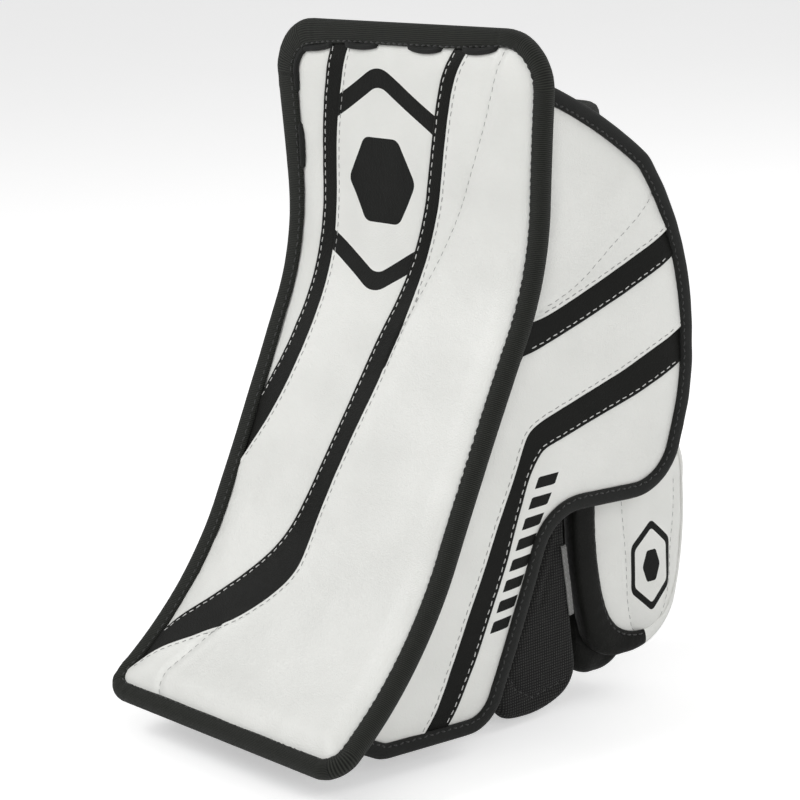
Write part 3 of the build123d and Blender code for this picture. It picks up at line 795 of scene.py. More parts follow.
def seam_rows(seam, loop):
    """Guide lines beside a seam inside a loop, close together where its folded edge is round."""
    rows = []
    for d in (0.0, 0.15, 0.4, 0.8, 1.5, 2.0, 2.5, 3.0, 4.2):
        row = seam if d == 0 else beside(seam, d)
        keep = inside(row, loop)
        if keep.any():
            first, last = np.flatnonzero(keep)[[0, -1]]
            rows.append(row[max(first - 1, 0):last + 2])
    rows.append(beside(seam, -0.5))
    return rows


def seam_lines(seams, creases, loop):
    lines = [row for seam in seams for row in seam_rows(seam, loop)]
    for crease in creases:
        lines += [crease, beside(crease, 0.9), beside(crease, -0.9)]
    return lines


def leather_cover(body, pieces, loop, seams, creases, way, marks, printed, printed_piece, rise_at, place):
    """Cover cut along its seams into panels and stripes.

    way is 1 or -1, the side of a seam on which the next piece lies. pieces are (visual piece, CAD node).
    marks are the outlines of the print on the printed piece, and printed tells which points are in it.
    """
    points, faces = triangulate(loop, seam_lines(seams, creases, loop), marks)
    centre = points[faces].mean(1)
    order = sum((distance_to(centre, seam) * way > 0).astype(int) for seam in seams)
    for index, (name, node) in enumerate(pieces):
        q, own = pick(points, faces, order == index)
        rise = rise_at(q)
        shell, shell_faces = thicken(place(q, rise), place(q, rise - LEATHER), own[:, ::int(way)])
        stripe = "stripe" in name
        paint = np.zeros(len(shell_faces), int)
        if name == printed_piece:
            paint[:len(own)] = printed(q[own].mean(1))
        materials = [BLACK_LEATHER] if stripe else [WHITE_LEATHER, BLACK_PRINT]
        piece = make_mesh(name, shell, shell_faces, materials, np.vstack([q, q]), paint)
        dress(piece, body, [node])


def inside_run(line, loop):
    """The longest stretch of a polyline inside a loop."""
    keep = inside(line, loop)
    first, last = np.flatnonzero(keep)[[0, -1]]
    return line[first:last + 1]


def cover_stitching(prefix, body, seams, creases, colors, loop, rise_at, place, normal):
    """A row beside every seam, in alternating colours, and a grey row in every crease."""
    rows = {"white": [], "grey": []}
    for index, seam in enumerate(seams):
        line = resample(inside_run(beside(seam, STITCH_INSET), loop), 1.0)
        rows[colors[index % 2]].append((place(line, rise_at(line)), normal(line), *SEAM_STITCH))
    for crease in creases:
        line = resample(inside_run(crease, loop), 1.0)
        rows["grey"].append((place(line, rise_at(line)), normal(line), *CREASE_STITCH))
    stitches(prefix + "_white_stitching", rows["white"], WHITE_THREAD, body)
    stitches(prefix + "_grey_stitching", rows["grey"], GREY_THREAD, body)


def board_cover():
    loop = resample(board_loop(5.5), 2.2, closed=True)
    leather_cover("board", BOARD_PIECES, loop, BOARD_SEAMS, BOARD_CREASES, 1, BOARD_EMBLEM,
                  lambda q: in_emblem(q, BOARD_EMBLEM), "board_center_panel", board_rise, board_xyz)
    cover_stitching("board", "board", BOARD_SEAMS, BOARD_CREASES, ("white", "grey"), BOARD_LIP_LOOP,
                    board_rise, board_xyz, board_normal)


# ---------------------------------------------------------------- binding

def swept_tape(name, loops, place, materials, body, replaced, closed=True, paint=None):
    """Tape lofted through outlines of equal count; loops is a list of (outline, rise)."""
    rings = [place(q, r) for q, r in loops]
    count, width = len(rings[0]), len(rings)
    along = travel(rings[width // 2])
    steps = [np.linalg.norm(b - a, axis=1).mean() for a, b in zip(rings, rings[1:])]
    across = np.concatenate([[0], np.cumsum(steps)])
    uv = np.stack(np.broadcast_arrays(along[:, None], across[None, :]), 2).reshape(-1, 2)
    faces = grid_faces(count, width, wrap=closed)
    if not closed:
        faces += [tuple(range(width))[::-1], tuple((count - 1) * width + k for k in range(width))]
    faces += [(i * width, j * width, j * width + width - 1, i * width + width - 1)
              for i, j in neighbours(count)[:None if closed else -1]]
    face_material = [paint(min(f) // width) for f in faces] if paint else None
    piece = make_mesh(name, np.stack(rings, 1).reshape(-1, 3), faces, materials, uv, face_material)
    dress(piece, body, replaced)


# Cross-section of a folded tape on an edge: (distance in from the edge, rise over the face)
BOARD_TAPE = ((LIP, -0.6), (LIP - 0.1, 0.4), (LIP - 0.8, 1.15), (LIP - 2.2, 1.5), (LIP - 4.2, 1.75),
              (4.4, 1.8), (2.6, 1.35), (1.2, 0.55), (0.2, -0.7), (-0.25, -2.2), (-0.2, -3.6), (0.4, -5.2),
              (1.6, -6.4),
              (3.4, -7.0), (6.0, -7.2), (LIP - 2.2, -7.1), (LIP - 0.6, -6.8), (LIP, -6.2))


def folded(section, thickness=1.3):
    """Outer then inner outline of a folded tape from its outer outline."""
    line = np.asarray(section, float)
    way = tangent(line)
    inner = line + thickness * np.stack([-way[:, 1], way[:, 0]], 1)
    return np.vstack([line, inner[::-1]])


def pucker(loop, amount):
    """Small gathers, strongest round the corners."""
    turn = np.arctan2(*np.roll(loop, -3, 0).T - loop.T) - np.arctan2(*(loop - np.roll(loop, 3, 0)).T)
    turn = np.abs((turn + pi) % (2 * pi) - pi)
    corner = np.convolve(np.concatenate([turn[-6:], turn, turn[:6]]), np.ones(13) / 13, "valid")
    index = np.arange(len(loop))
    fine = waver(index * 0.55, 3.1, 0.2)
    broad = waver(index * 0.07, 9.1, 4.2)
    return amount * (0.35 * broad + fine * np.clip(corner * 9, 0.08, 1.2))


def board_tape():
    outline = board_loop(0)
    gathers = pucker(outline, 0.55)
    lean = 0.5 * waver(np.arange(len(outline)) * 0.06, 1.7, 0)
    loops = []
    for inset, rise in folded(BOARD_TAPE):
        loop = tape_loop(inset)
        lift = rise + gathers * (1 if rise > 0 else 0.3)
        if inset > LIP - 3:
            loop = loop - unit(loop - loop.mean(0)) * lean[:, None]
        loops.append((loop, lift))

    def paint(index):
        """1 on the top and bottom edges, where the ribs run along the tape."""
        return int(not END_TAPE < outline[index, 1] < BOARD_LENGTH - END_TAPE)

    swept_tape("board_edge_tape", loops, board_xyz, [SIDE_RIB_TAPE, LONG_RIB_TAPE], "board",
               ["board_binding"], paint=paint)
    rows = []
    for inset, rise, way, sway in ((1.3, 1.45, 1, 0.5), (1.6, -7.05, -1, 0.4)):
        line = resample(closed_line(tape_loop(LIP - inset)), 1.0)
        path = board_xyz(line, np.full(len(line), rise))
        rows.append((path, way * board_normal(line), 3.2, 0.9, 0.4, sway))
    stitches("board_edge_stitching", rows, BLACK_THREAD, "board")


def cord(name, paths, radius, material, body, replaced, sides=8):
    """Round cord swept along open paths, thinner at its ends."""
    rods = []
    for path in paths:
        way = tangent(path)
        side = unit(np.cross(way, (0.03, 0.05, 1.0)))
        swell = np.full(len(path), radius)
        swell[[0, -1]] = radius * 0.45
        rods.append(rod(path, side, np.cross(side, way), swell, travel(path), sides))
    points, faces, uv = joined(rods)
    dress(make_mesh(name, points, faces, [material], uv), body, replaced)


def board_laces():
    """Lace stitches just inside the tape, along the top and the upper outer edge."""
    lip = BOARD_LIP_LOOP
    top = lip[lip[:, 1] < 30]
    top = top[np.argsort(top[:, 0])]
    outer = lip[lip[:, 0] < 0]
    outer = outer[np.argsort(outer[:, 1])]
    reach = 12.0 * np.linspace(-1, 1, 15)
    bow = np.cos(reach / 12 * pi / 2 * 0.999) ** 0.4
    lines = []
    for x in LACES_ALONG_TOP:
        across = x + reach
        lines.append(np.stack([across, np.interp(across, top[:, 0], top[:, 1]) - 1.4 + 2.6 * bow], 1))
    for s in LACES_DOWN_SIDE:
        down = s + reach
        lines.append(np.stack([np.interp(down, outer[:, 1], outer[:, 0]) - 1.4 + 2.6 * bow, down], 1))
    paths = [board_xyz(line, board_rise(line) + 0.1 + 0.9 * bow) for line in lines]
    cord("board_lace_stitches", paths, 1.7, SMOOTH_TAPE, "board", ["board_edge_laces"])


# ---------------------------------------------------------------- side board

def wing(x, flare):
    """Placement on an upright flared plane: (depth, drop) points and a rise along its outward normal."""
    back = np.array([sin(flare), cos(flare), 0])
    out = np.array([cos(flare), -sin(flare), 0])

    def place(q, rise):
        q = np.asarray(q, float)
        rise = np.broadcast_to(rise, len(q))
        base = np.array([x, 0, TOP_Z]) + q[:, :1] * back + q[:, 1:] * np.array([0, 0, -1.0])
        return base + rise[:, None] * out

    def normal(q):
        return np.tile(out, (len(q), 1))

    return place, normal


SIDE_PLACE, SIDE_NORMAL = wing(SIDE_X, SIDE_FLARE)


def front_edge(depth):
    """Side profile of the board at one depth, as (depth along the side plane, drop), from the bottom up."""
    s = np.linspace(BOARD_LENGTH, -20, 160)
    points = board_xyz(np.stack([np.zeros(160), s], 1), -depth)
    return np.stack([points[:, 1] / cos(SIDE_FLARE), TOP_Z - points[:, 2]], 1)


def side_free_edge():
    """The free edge of the side board, from the top front round the flap to the bottom front."""
    parts = [arc((-30, 10), (27, 33.5), (73, 66)), arc((73, 66), (92.5, 107), (100, 161)),
             arc((100, 161), (98.5, 188), (92, 213)), arc((92, 213), (81.5, 232), (63, 240)),
             arc((27, 239), (12.5, 244), (4, 256)), arc((4, 256), (-10, 292), (-24, 325)),
             arc((-24, 325), (-30.5, 335), (-43, 341)), np.array([(-96, 341), (-136, 319)])]
    line = resample(np.vstack(parts), 1.5)
    front = front_edge(EDGE_REAR + SIDE_GAP)
    ahead = distance_to(line, front) > 0
    keep = np.flatnonzero(~ahead)
    return line[keep[0]:keep[-1] + 1]


def smooth(line, rounds=6):
    line = line.copy()
    for _ in range(rounds):
        line[1:-1] = (line[:-2] + 2 * line[1:-1] + line[2:]) / 4
    return line


SIDE_FREE = smooth(side_free_edge())


def close_front(free, depth):
    """Closed side-board outline: a free edge and the board's profile at one depth."""
    front = front_edge(depth)
    start = np.abs(front - free[-1]).sum(1).argmin()
    end = np.abs(front - free[0]).sum(1).argmin()
    return np.vstack([free, front[start + 1:end]])


UPPER_STRIPE = (((-27, 148), (23, 131), (64, 114), (113, 91)), ((-27, 162), (23, 145), (64, 129), (113, 106)))
LOWER_STRIPE = (((-93, 374), (-60, 312), (-32, 251), (-6, 193), (2, 188.5), (52, 172), (113, 147)),
                ((-80, 374), (-41, 302), (-21, 257), (-5.5, 214), (2.5, 203), (59, 186), (113, 165)))
SIDE_SEAMS = [spline(line) for line in UPPER_STRIPE]
SIDE_SEAMS += [smooth(resample(line, 2.0), 4) for line in LOWER_STRIPE]
SIDE_CREASES = [spline(((84, 78), (62, 98), (47, 109), (30, 122), (3, 134)))]
SIDE_PIECES = [(f"side_cover_{name}", f"side_{name}") for name in
               ("panel_top", "stripe_upper", "panel_middle", "stripe_lower", "panel_lower")]


def side_inset(inset):
    """The free edge pulled in; its positive side is the outside, so the way in is negative."""
    return beside(SIDE_FREE, inset * SIDE_WAY_IN)


SIDE_WAY_IN = 1.0 if inside(beside(SIDE_FREE, 3.0)[len(SIDE_FREE) // 3:len(SIDE_FREE) // 3 + 1],
                            close_front(SIDE_FREE, EDGE_REAR))[0] else -1.0
SIDE_LIP_LINE = side_inset(SIDE_LIP)


def side_rise(q):
    edge = distance_to(q, SIDE_LIP_LINE) * SIDE_WAY_IN
    front = -distance_to(q, front_edge(EDGE_REAR + SIDE_GAP))
    edge = np.where(np.abs(edge) < 60, edge, 60)
    rise = -1.8 + 2.9 * rounded((edge + 2) / 16) ** 0.8 - 4.5 * (1 - rounded((front + 1) / 12))
    for seam in SIDE_SEAMS:
        rise = rise + fold_profile(distance_to(q, seam))
    for crease in SIDE_CREASES:
        rise = rise + crease_profile(distance_to(q, crease)) * 0.8
    return rise + tufts(q, 0.04, 0.5, 21.0) + tufts(q, 0.12, 0.16, 31.0)


def slanted_bars():
    """A row of plain slanted bars on the lower panel, beside the index finger."""
    start, end = np.array([6.5, 214.0]), np.array([-27.0, 292.0])
    way = (end - start) / np.linalg.norm(end - start)
    across = np.array([-way[1], way[0]])
    bars = []
    for k in range(8):
        middle = start + (end - start) * (k + 0.5) / 8 + across * -0.5
        a, b = way * 3.1, across * 5.6 + way * 2.6
        corners = [middle + i * a + j * b for i, j in ((-1, -1), (1, -1), (1, 1), (-1, 1))]
        bars.append(resample(corners, 1.4, closed=True))
    return bars


SIDE_BARS = slanted_bars()


def in_bars(q):
    return np.any([inside(q, bar) for bar in SIDE_BARS], axis=0)


def side_cover():
    loop = resample(close_front(side_inset(SIDE_LIP - 2.5), EDGE_REAR + SIDE_GAP), 2.2, closed=True)
    leather_cover("side_board", SIDE_PIECES, loop, SIDE_SEAMS, SIDE_CREASES, -1, SIDE_BARS, in_bars,
                  "side_cover_panel_lower", side_rise, SIDE_PLACE)
    loop = close_front(SIDE_LIP_LINE, EDGE_REAR + SIDE_GAP + 6)
    cover_stitching("side", "side_board", SIDE_SEAMS, SIDE_CREASES, ("grey", "white"), loop,
                    side_rise, SIDE_PLACE, SIDE_NORMAL)


SIDE_TAPE = ((SIDE_LIP, -1.0), (SIDE_LIP - 0.1, 0.2), (SIDE_LIP - 0.9, 0.9), (SIDE_LIP - 2.6, 1.2),
             (4.0, 1.2), (2.0, 0.7), (0.6, -0.6), (-0.2, -2.6), (-0.5, -6.0), (-0.4, -10.0), (0.2, -13.0),
             (1.6, -14.8),
             (3.6, -15.4), (SIDE_LIP - 2.4, -15.3), (SIDE_LIP - 0.6, -14.9), (SIDE_LIP, -14.0))


def side_tape():
    wave = 0.25 * waver(np.arange(len(SIDE_FREE)) * 0.16, 5.0, 2.0)
    loops = [(side_inset(inset + wave.mean()), rise + wave) for inset, rise in folded(SIDE_TAPE)]
    swept_tape("side_edge_tape", loops, SIDE_PLACE, [SMOOTH_TAPE], "side_board", ["side_binding"],
               closed=False)
    rows = []
    for inset, rise, way in ((SIDE_LIP - 1.4, 1.15, 1), (SIDE_LIP - 1.6, -15.2, -1)):
        line = resample(side_inset(inset), 1.0)
        rows.append((SIDE_PLACE(line, rise), way * SIDE_NORMAL(line), 2.6, 0.9, 0.38, 0.7))
    stitches("side_edge_stitching", rows, BLACK_THREAD, "side_board")


# ---------------------------------------------------------------- soft solids

SOFTEN_FRAMES = 18
CLOTH = {"quality": 6, "mass": 0.25, "tension_stiffness": 18, "compression_stiffness": 18,
         "shear_stiffness": 6, "bending_stiffness": 0.35, "tension_damping": 12, "compression_damping": 12,
         "use_pressure": True, "vertex_group_mass": "sewn"}


def soften(piece, pressure, limit, pinned, growth=0.03):
    """Swell a piece between its sewn points, by no more than limit (mm), and smooth it."""
    inflate(piece, pressure, limit, pinned, growth)
    subdivide(piece)


def inflate(piece, pressure, limit, pinned, growth):
    """Short cloth simulation: air pressure inside a slightly oversized skin that is held where it is sewn."""
    mesh = piece.data
    rest = np.empty(len(mesh.vertices) * 3)
    mesh.vertices.foreach_get("co", rest)
    group = piece.vertex_groups.new(name="sewn")
    group.add([int(i) for i in np.flatnonzero(pinned)], 1.0, "REPLACE")
    cloth = piece.modifiers.new("cloth", "CLOTH")
    for key, value in CLOTH.items():
        setattr(cloth.settings, key, value)
    cloth.settings.uniform_pressure_force = pressure
    cloth.settings.shrink_min = -growth
    cloth.settings.effector_weights.gravity = 0
    cloth.collision_settings.use_collision = False
    cloth.point_cache.frame_start = 1
    cloth.point_cache.frame_end = SOFTEN_FRAMES
    scene = bpy.context.scene
    for step in range(1, SOFTEN_FRAMES + 1):
        scene.frame_set(step)
    moved = np.empty_like(rest)
    result = piece.evaluated_get(bpy.context.evaluated_depsgraph_get())
    result.data.vertices.foreach_get("co", moved)
    piece.modifiers.remove(cloth)
    piece.vertex_groups.clear()
    scene.frame_set(1)
    shift = (moved - rest).reshape(-1, 3)
    length = np.maximum(np.linalg.norm(shift, axis=1), 1e-9)
    reach = limit * MM
    shift *= (reach * np.tanh(length / reach) / length)[:, None]
    mesh.vertices.foreach_set("co", (rest.reshape(-1, 3) + shift).ravel())
    mesh.update()


def subdivide(piece):
    modifier = piece.modifiers.new("smooth", "SUBSURF")
    modifier.levels = 1
    modifier.render_levels = 1
    result = bpy.data.meshes.new_from_object(piece.evaluated_get(bpy.context.evaluated_depsgraph_get()))
    piece.modifiers.remove(modifier)
    old = piece.data
    piece.data = result
    bpy.data.meshes.remove(old)


def pillow(name, loop, place, front, back, radius, material, spacing=3.2, relief=None):
    """Padded panel with a round edge between two rises; relief(q) is added to its front."""
    rings = [resample(loop_inset(loop, radius * share), spacing, closed=True) for share in (0.08, 0.3, 0.7)]
    outline = resample(loop, spacing, closed=True)
    points, faces = triangulate(outline, rings=rings, spacing=spacing)
    edge = np.abs(distance_to(points, outline, closed=True))
    inward = np.clip(edge / radius, 0, 1)
    half = (front - back) / 2 * np.sqrt(np.clip(1 - (1 - inward) ** 2, 0, 1))
    top, bottom = (front + back) / 2 + half, (front + back) / 2 - half
    if relief is not None:
        top = top + relief(points) * inward
    shell, shell_faces = thicken(place(points, top), place(points, bottom), faces)
    a, b, c = shell[list(shell_faces[0])]
    normal = np.cross(b - a, c - a)
    if normal @ (place(points[:1], [1.0]) - place(points[:1], [0.0]))[0] < 0:
        shell_faces = [face[::-1] for face in shell_faces]
    piece = make_mesh(name, shell, shell_faces, [material], np.vstack([points, points]))
    sewn = np.concatenate([edge < 0.2 * radius] * 2)
    return piece, points, sewn


def loop_inset(loop, distance):
    """A closed outline pulled in by distance; loops may turn either way."""
    loop = np.asarray(loop, float)
    following = np.roll(loop, -1, 0)
    way = unit(following - np.roll(loop, 1, 0))
    area = (loop[:, 0] * following[:, 1] - following[:, 0] * loop[:, 1]).sum()
    across = np.stack([way[:, 1], -way[:, 0]], 1) * (1 if area < 0 else -1)
    wrapped = np.vstack([across[-2:], across, across[:2]])
    across = np.stack([np.convolve(column, np.ones(5) / 5, "valid") for column in wrapped.T], 1)
    across /= np.maximum(np.linalg.norm(across, axis=1), 0.1)[:, None]
    return loop + distance * across


def tube(name, rings, wall, materials, caps=(False, False), side_paint=None):
    """Double-walled sleeve through rings of equal count; a capped end is closed inside and out.

    side_paint is the material of each face round a ring.
    """
    rings = np.asarray(rings, float)
    rows, sides, _ = rings.shape
    centre = rings.mean(1, keepdims=True)
    arm = rings - centre
    reach = np.linalg.norm(arm, axis=2, keepdims=True)
    inner = centre + arm * np.maximum(reach - wall, 0.3 * reach) / reach
    if caps[1]:
        way = unit(centre[-1, 0] - centre[-2, 0])
        inner = inner - way * wall * np.linspace(0, 1, rows)[:, None, None] ** 6
    count = rows * sides
    faces, paint = [], []
    for i in range(rows - 1):
        for k, m in neighbours(sides):
            a, b, c, d = i * sides + k, i * sides + m, (i + 1) * sides + m, (i + 1) * sides + k
            faces += [(a, d, c, b), (count + a, count + b, count + c, count + d)]
            paint += [side_paint[k]] * 2 if side_paint else [0, 0]
    for end, capped in zip((0, rows - 1), caps):
        row = [end * sides + k for k in range(sides)]
        if end:
            row.reverse()
        if capped:
            faces += [tuple(row), tuple(count + k for k in reversed(row))]
        else:
            faces += [(row[k], row[m], count + row[m], count + row[k]) for k, m in neighbours(sides)]
    paint += [0] * (len(faces) - len(paint))
    length, girth = travel(centre[:, 0]), travel(rings[rows // 2])
    uv = np.stack(np.broadcast_arrays(girth[None, :], length[:, None]), 2).reshape(-1, 2)
    points = np.concatenate([rings.reshape(-1, 3), inner.reshape(-1, 3)])
    return make_mesh(name, points, faces, materials, np.vstack([uv, uv]), paint)


def rounded_rectangle(width, height, corner, sides=48):
    """Points round a centred rectangle with rounded corners, from the middle of its +x side."""
    corner = min(corner, width / 2 - 0.01, height / 2 - 0.01)
    points = []
    for sx, sy, start in ((1, 1, 0), (-1, 1, pi / 2), (-1, -1, pi), (1, -1, 1.5 * pi)):
        sweep = start + np.linspace(0, pi / 2, 9)
        middle = np.array([sx * (width / 2 - corner), sy * (height / 2 - corner)])
        points.append(middle + corner * around(sweep))
    loop = closed_line(np.vstack([[(width / 2, 0)], *points]))
    return along_line(loop, np.arange(sides) / sides * travel(loop)[-1])


def pulled_in(section, pull):
    """A section with its points moved towards its middle at (0, 0)."""
    return section - unit(section) * pull[:, None]


def tip_closing(v, tip, length):
    """Size of a round tip: 1 until its last stretch of this length, then down to 0."""
    return np.sqrt(np.clip(1 - np.clip((v - tip + length) / length, 0, 1) ** 2.2, 0, 1))


# ---------------------------------------------------------------- back of the board

CORE_EDGE = 9.0            # width of the rounded shoulder round the thick core


def core_side(s):
    """How far the thick core reaches towards the side board, across x."""
    y = board_xyz(np.stack([np.zeros(len(s)), s], 1), -14.0)[:, 1]
    return SIDE_X - (SIDE_THICKNESS + SIDE_ROOM + 0.5) / cos(SIDE_FLARE) + y * tan(SIDE_FLARE)


def core_depth(q):
    """Rise of the back cover: thin near the edge, then over the rounded shoulder of the core."""
    q = np.asarray(q, float)
    to_edge = depth_in(q, CORE_LOOP)
    t = np.clip(to_edge / CORE_EDGE, 0, 1)
    core = (BOARD_REAR - EDGE_REAR) * np.sqrt(np.clip(1 - (1 - t) ** 2.4, 0, 1)) ** 1.1
    quilt = -0.9 * sum(bell(distance_to(q, line), 1.6) for line in CORE_QUILT)
    swell = 0.7 * rounded(to_edge / 60) + tufts(q, 0.03, 0.5, 51.0) + tufts(q, 0.1, 0.2, 57.0)
    return -(EDGE_REAR + 0.15 + core + (swell + quilt) * (t > 0.5))


CORE_LOOP = board_loop(CORE_INSET)
CORE_LOOP[:, 0] = np.minimum(CORE_LOOP[:, 0], core_side(CORE_LOOP[:, 1]))
CORE_LOOP = resample(CORE_LOOP, 2.5, closed=True)
CORE_QUILT = [spline(((-62, 20), (-60, 160), (-58, 345))), spline(((-20, 20), (-21, 160), (-22, 345))),
              spline(((22, 20), (19, 160), (12, 345)))]
for drop in (60, 118, 176, 234, 292):
    CORE_QUILT.append(np.array([(x, float(drop)) for x in range(-86, 68, 4)]))


def board_back():
    loop = resample(board_loop(LIP - 2.5), 3.0, closed=True)
    rings = [resample(loop_inset(CORE_LOOP, d), 2.6, closed=True) for d in (0, 1.5, 4.0, CORE_EDGE)]
    points, faces = triangulate(loop, [], rings, 3.0)
    rise = core_depth(points)
    shell, shell_faces = thicken(board_xyz(points, rise), board_xyz(points, rise + 1.0), faces[:, ::-1])
    piece = make_mesh("board_back_cover", shell, shell_faces, [NYLON], np.vstack([points, points]))
    dress(piece, "board", ("board_back_sheet", "board_core_cover", "board_core_foam",
                                           "board_front_foam"))
    rows = []
    for line in CORE_QUILT:
        line = resample(inside_run(line, loop_inset(CORE_LOOP, 6)), 1.0)
        rows.append(row_on(piece, board_xyz(line, core_depth(line)), -board_normal(line)))
    seam = resample(closed_line(CORE_LOOP), 1.0)
    path = board_xyz(loop_inset(seam, -1.6), np.full(len(seam), -EDGE_REAR))
    rows.append(row_on(piece, path, -board_normal(seam)))
    stitches("board_back_stitching", rows, GREY_THREAD, "board")


SIDE_QUILT = [resample(line, 3.0) for line in (((-150, 262), (110, 104)), ((-150, 332), (110, 174)),
                                               ((-60, 128), (110, 231)), ((-60, 198), (30, 252)))]


def side_back():
    """Quilted lining on the hand side of the side board, rolled in at its front edge."""
    free = side_inset(SIDE_LIP - 2.0)
    loop = resample(close_front(free, EDGE_REAR + SIDE_GAP), 3.0, closed=True)
    points, faces = triangulate(loop, [], [], 3.0)
    edge = distance_to(points, SIDE_LIP_LINE) * SIDE_WAY_IN
    front = np.clip(-distance_to(points, front_edge(EDGE_REAR + SIDE_GAP)), 0, None)
    roll = rounded((edge + 2) / 14) * rounded(front / 10)
    quilt = 0.8 * sum(bell(distance_to(points, line), 1.8) for line in SIDE_QUILT)
    rise = -SIDE_THICKNESS + 0.6 - 1.4 * roll + quilt + tufts(points, 0.05, 0.35, 71.0)
    rise = rise + 5.0 * (1 - rounded((front + 0.5) / 9))
    shell, shell_faces = thicken(SIDE_PLACE(points, rise), SIDE_PLACE(points, rise + 1.0), faces)
    piece = make_mesh("side_back_lining", shell, shell_faces, [KNIT], np.vstack([points, points]))
    dress(piece, "side_board", ("side_lining",))
    inner = close_front(side_inset(SIDE_LIP + 1), EDGE_REAR + SIDE_GAP + 6)
    rows = []
    for line in SIDE_QUILT:
        line = resample(inside_run(line, inner), 1.0)
        path = SIDE_PLACE(line, np.full(len(line), -SIDE_THICKNESS))
        rows.append(row_on(piece, path, -SIDE_NORMAL(line)))
    stitches("side_back_stitching", rows, GREY_THREAD, "side_board")


def side_front_roll():
    """Soft roll that closes the side board along the board's edge, between its cover and its lining."""
    front = front_edge(EDGE_REAR + SIDE_GAP + 0.4)
    keep = inside(front, close_front(side_inset(1.0), EDGE_REAR - 4))
    line = resample(front[keep], 3.0)
    rings = []
    sweep = np.linspace(0, 2 * pi, 20, endpoint=False)
    half = (SIDE_THICKNESS - 5.0) / 2
    for k, q in enumerate(line):
        back = unit(beside(line, 1.0)[k] - q)
        back = back if back[0] > 0 else -back
        bulge = 4.6 + 0.3 * noise.noise(Vector((k * 0.4, 0, 77)))
        flat = q[None] + np.outer(bulge * (1 + np.cos(sweep)), back)
        rise = -SIDE_THICKNESS / 2 - 0.4 + (half + 2.2) * np.sin(sweep)
        rings.append(SIDE_PLACE(flat, rise))
    piece = tube("side_front_roll", rings, 2.0, [NYLON], (True, True))
    dress(piece, "side_board", ("side_foam",))


# ---------------------------------------------------------------- hand

def hand_xyz(q):
    """Row-frame points from (across, towards the fingers, towards the palm)."""
    q = np.asarray(q, float)
    down = np.array([0, -sin(HAND_TILT), -cos(HAND_TILT)])
    palm = np.array([0, cos(HAND_TILT), -sin(HAND_TILT)])
    origin = np.array([HAND_X, WRIST_Y, TOP_Z - WRIST_DROP])
    return origin + q[..., :1] * np.array([1.0, 0, 0]) + q[..., 1:2] * down + q[..., 2:3] * palm


def riser_front(v, depth):
    """Where a line through hand distance v meets the board's surface at this depth."""
    s = np.linspace(0, BOARD_LENGTH, 300)
    points = board_xyz(np.stack([np.zeros(300), s], 1), -depth) - np.array([0, WRIST_Y, TOP_Z - WRIST_DROP])
    down = -points[:, 1] * sin(HAND_TILT) - points[:, 2] * cos(HAND_TILT)
    palm = points[:, 1] * cos(HAND_TILT) - points[:, 2] * sin(HAND_TILT)
    return np.interp(v, down, palm)


RISER_ROUND = 2.4


def riser():
    """Foam pad in fabric that carries the hand on the back of the board."""
    outline = rounded_rectangle(90, 88, 14, 96) + np.array([0, 50])
    levels, sides = 9, len(outline)

    def level(loop, t):
        front = riser_front(loop[:, 1], BOARD_REAR + 0.2)
        return hand_xyz(np.column_stack([loop, front + (-0.4 - front) * t]))

    rings = []
    for t in np.linspace(0, 1, levels):
        pull = RISER_ROUND * (1 - sin(pi * min(max(t, 0.02), 0.98))) ** 3
        rings.append(level(loop_inset(outline, pull), t))
    faces = [(i * sides + k, (i + 1) * sides + k, (i + 1) * sides + m, i * sides + m)
             for i in range(levels - 1) for k, m in neighbours(sides)]
    cap, cap_faces = triangulate(loop_inset(outline, RISER_ROUND), spacing=4.5)
    first = levels * sides
    faces += [first + f for f in cap_faces] + [first + len(cap) + f[::-1] for f in cap_faces]
    points = np.vstack([*rings, level(cap, 0), level(cap, 1)])
    uv = np.column_stack([points[:, 0] + points[:, 1], points[:, 2]])
    piece = make_mesh("hand_riser", points, faces, [NYLON], uv)
    weld(piece)
    spots = np.array([v.co for v in piece.data.vertices]) / MM
    soften(piece, 2.5, 2.2, sewn_near(spots, np.vstack([rings[0], rings[-1], rings[4]]), 1.0), 0.04)
    dress(piece, "board", ("hand_riser_pad",))


def sewn_near(points, line, distance):
    """Flags for the points within a distance of any of the line's points."""
    result = np.zeros(len(points), bool)
    for k in range(0, len(points), 1000):
        result[k:k + 1000] = (np.linalg.norm(points[k:k + 1000, None] - line, axis=2).min(1) < distance)
    return result


def weld(piece, distance=0.05):
    work = bmesh.new()
    work.from_mesh(piece.data)
    bmesh.ops.remove_doubles(work, verts=work.verts, dist=distance * MM)
    bmesh.ops.recalc_face_normals(work, faces=work.faces)
    work.to_mesh(piece.data)
    work.free()


def glove_ring(t, sides):
    """Section of the glove body at a share t of the way from the wrist to the knuckles."""
    v = -CUFF_OVERLAP + t * (KNUCKLE - 2 + CUFF_OVERLAP)
    flare = np.clip(1 - (v + CUFF_OVERLAP) / 22, 0, 1) ** 1.5
    taper = np.clip((v - 52) / 46, 0, 1) ** 1.4
    low, high = 4.5 * taper - 5 * flare, HAND_THICKNESS + 6 * flare - 8.5 * taper
    width = HAND_WIDTH + 5 * flare - 2.5 * taper
    section = rounded_rectangle(width, high - low, 15 - 3 * taper, sides)
    depth = (low + high) / 2
    ripple = 1.1 * waver(section[:, 0] * 0.06, v * 0.09, section[:, 1] * 0.06)
    mitre = np.clip(depth + section[:, 1] - CURL_DEPTH, 0, None) * 0.55 * t ** 3
    section = pulled_in(section, 1.2 * bell(v - 2, 5.0) - ripple)
    return hand_xyz(np.column_stack([section[:, 0], v - mitre, depth + section[:, 1]]))


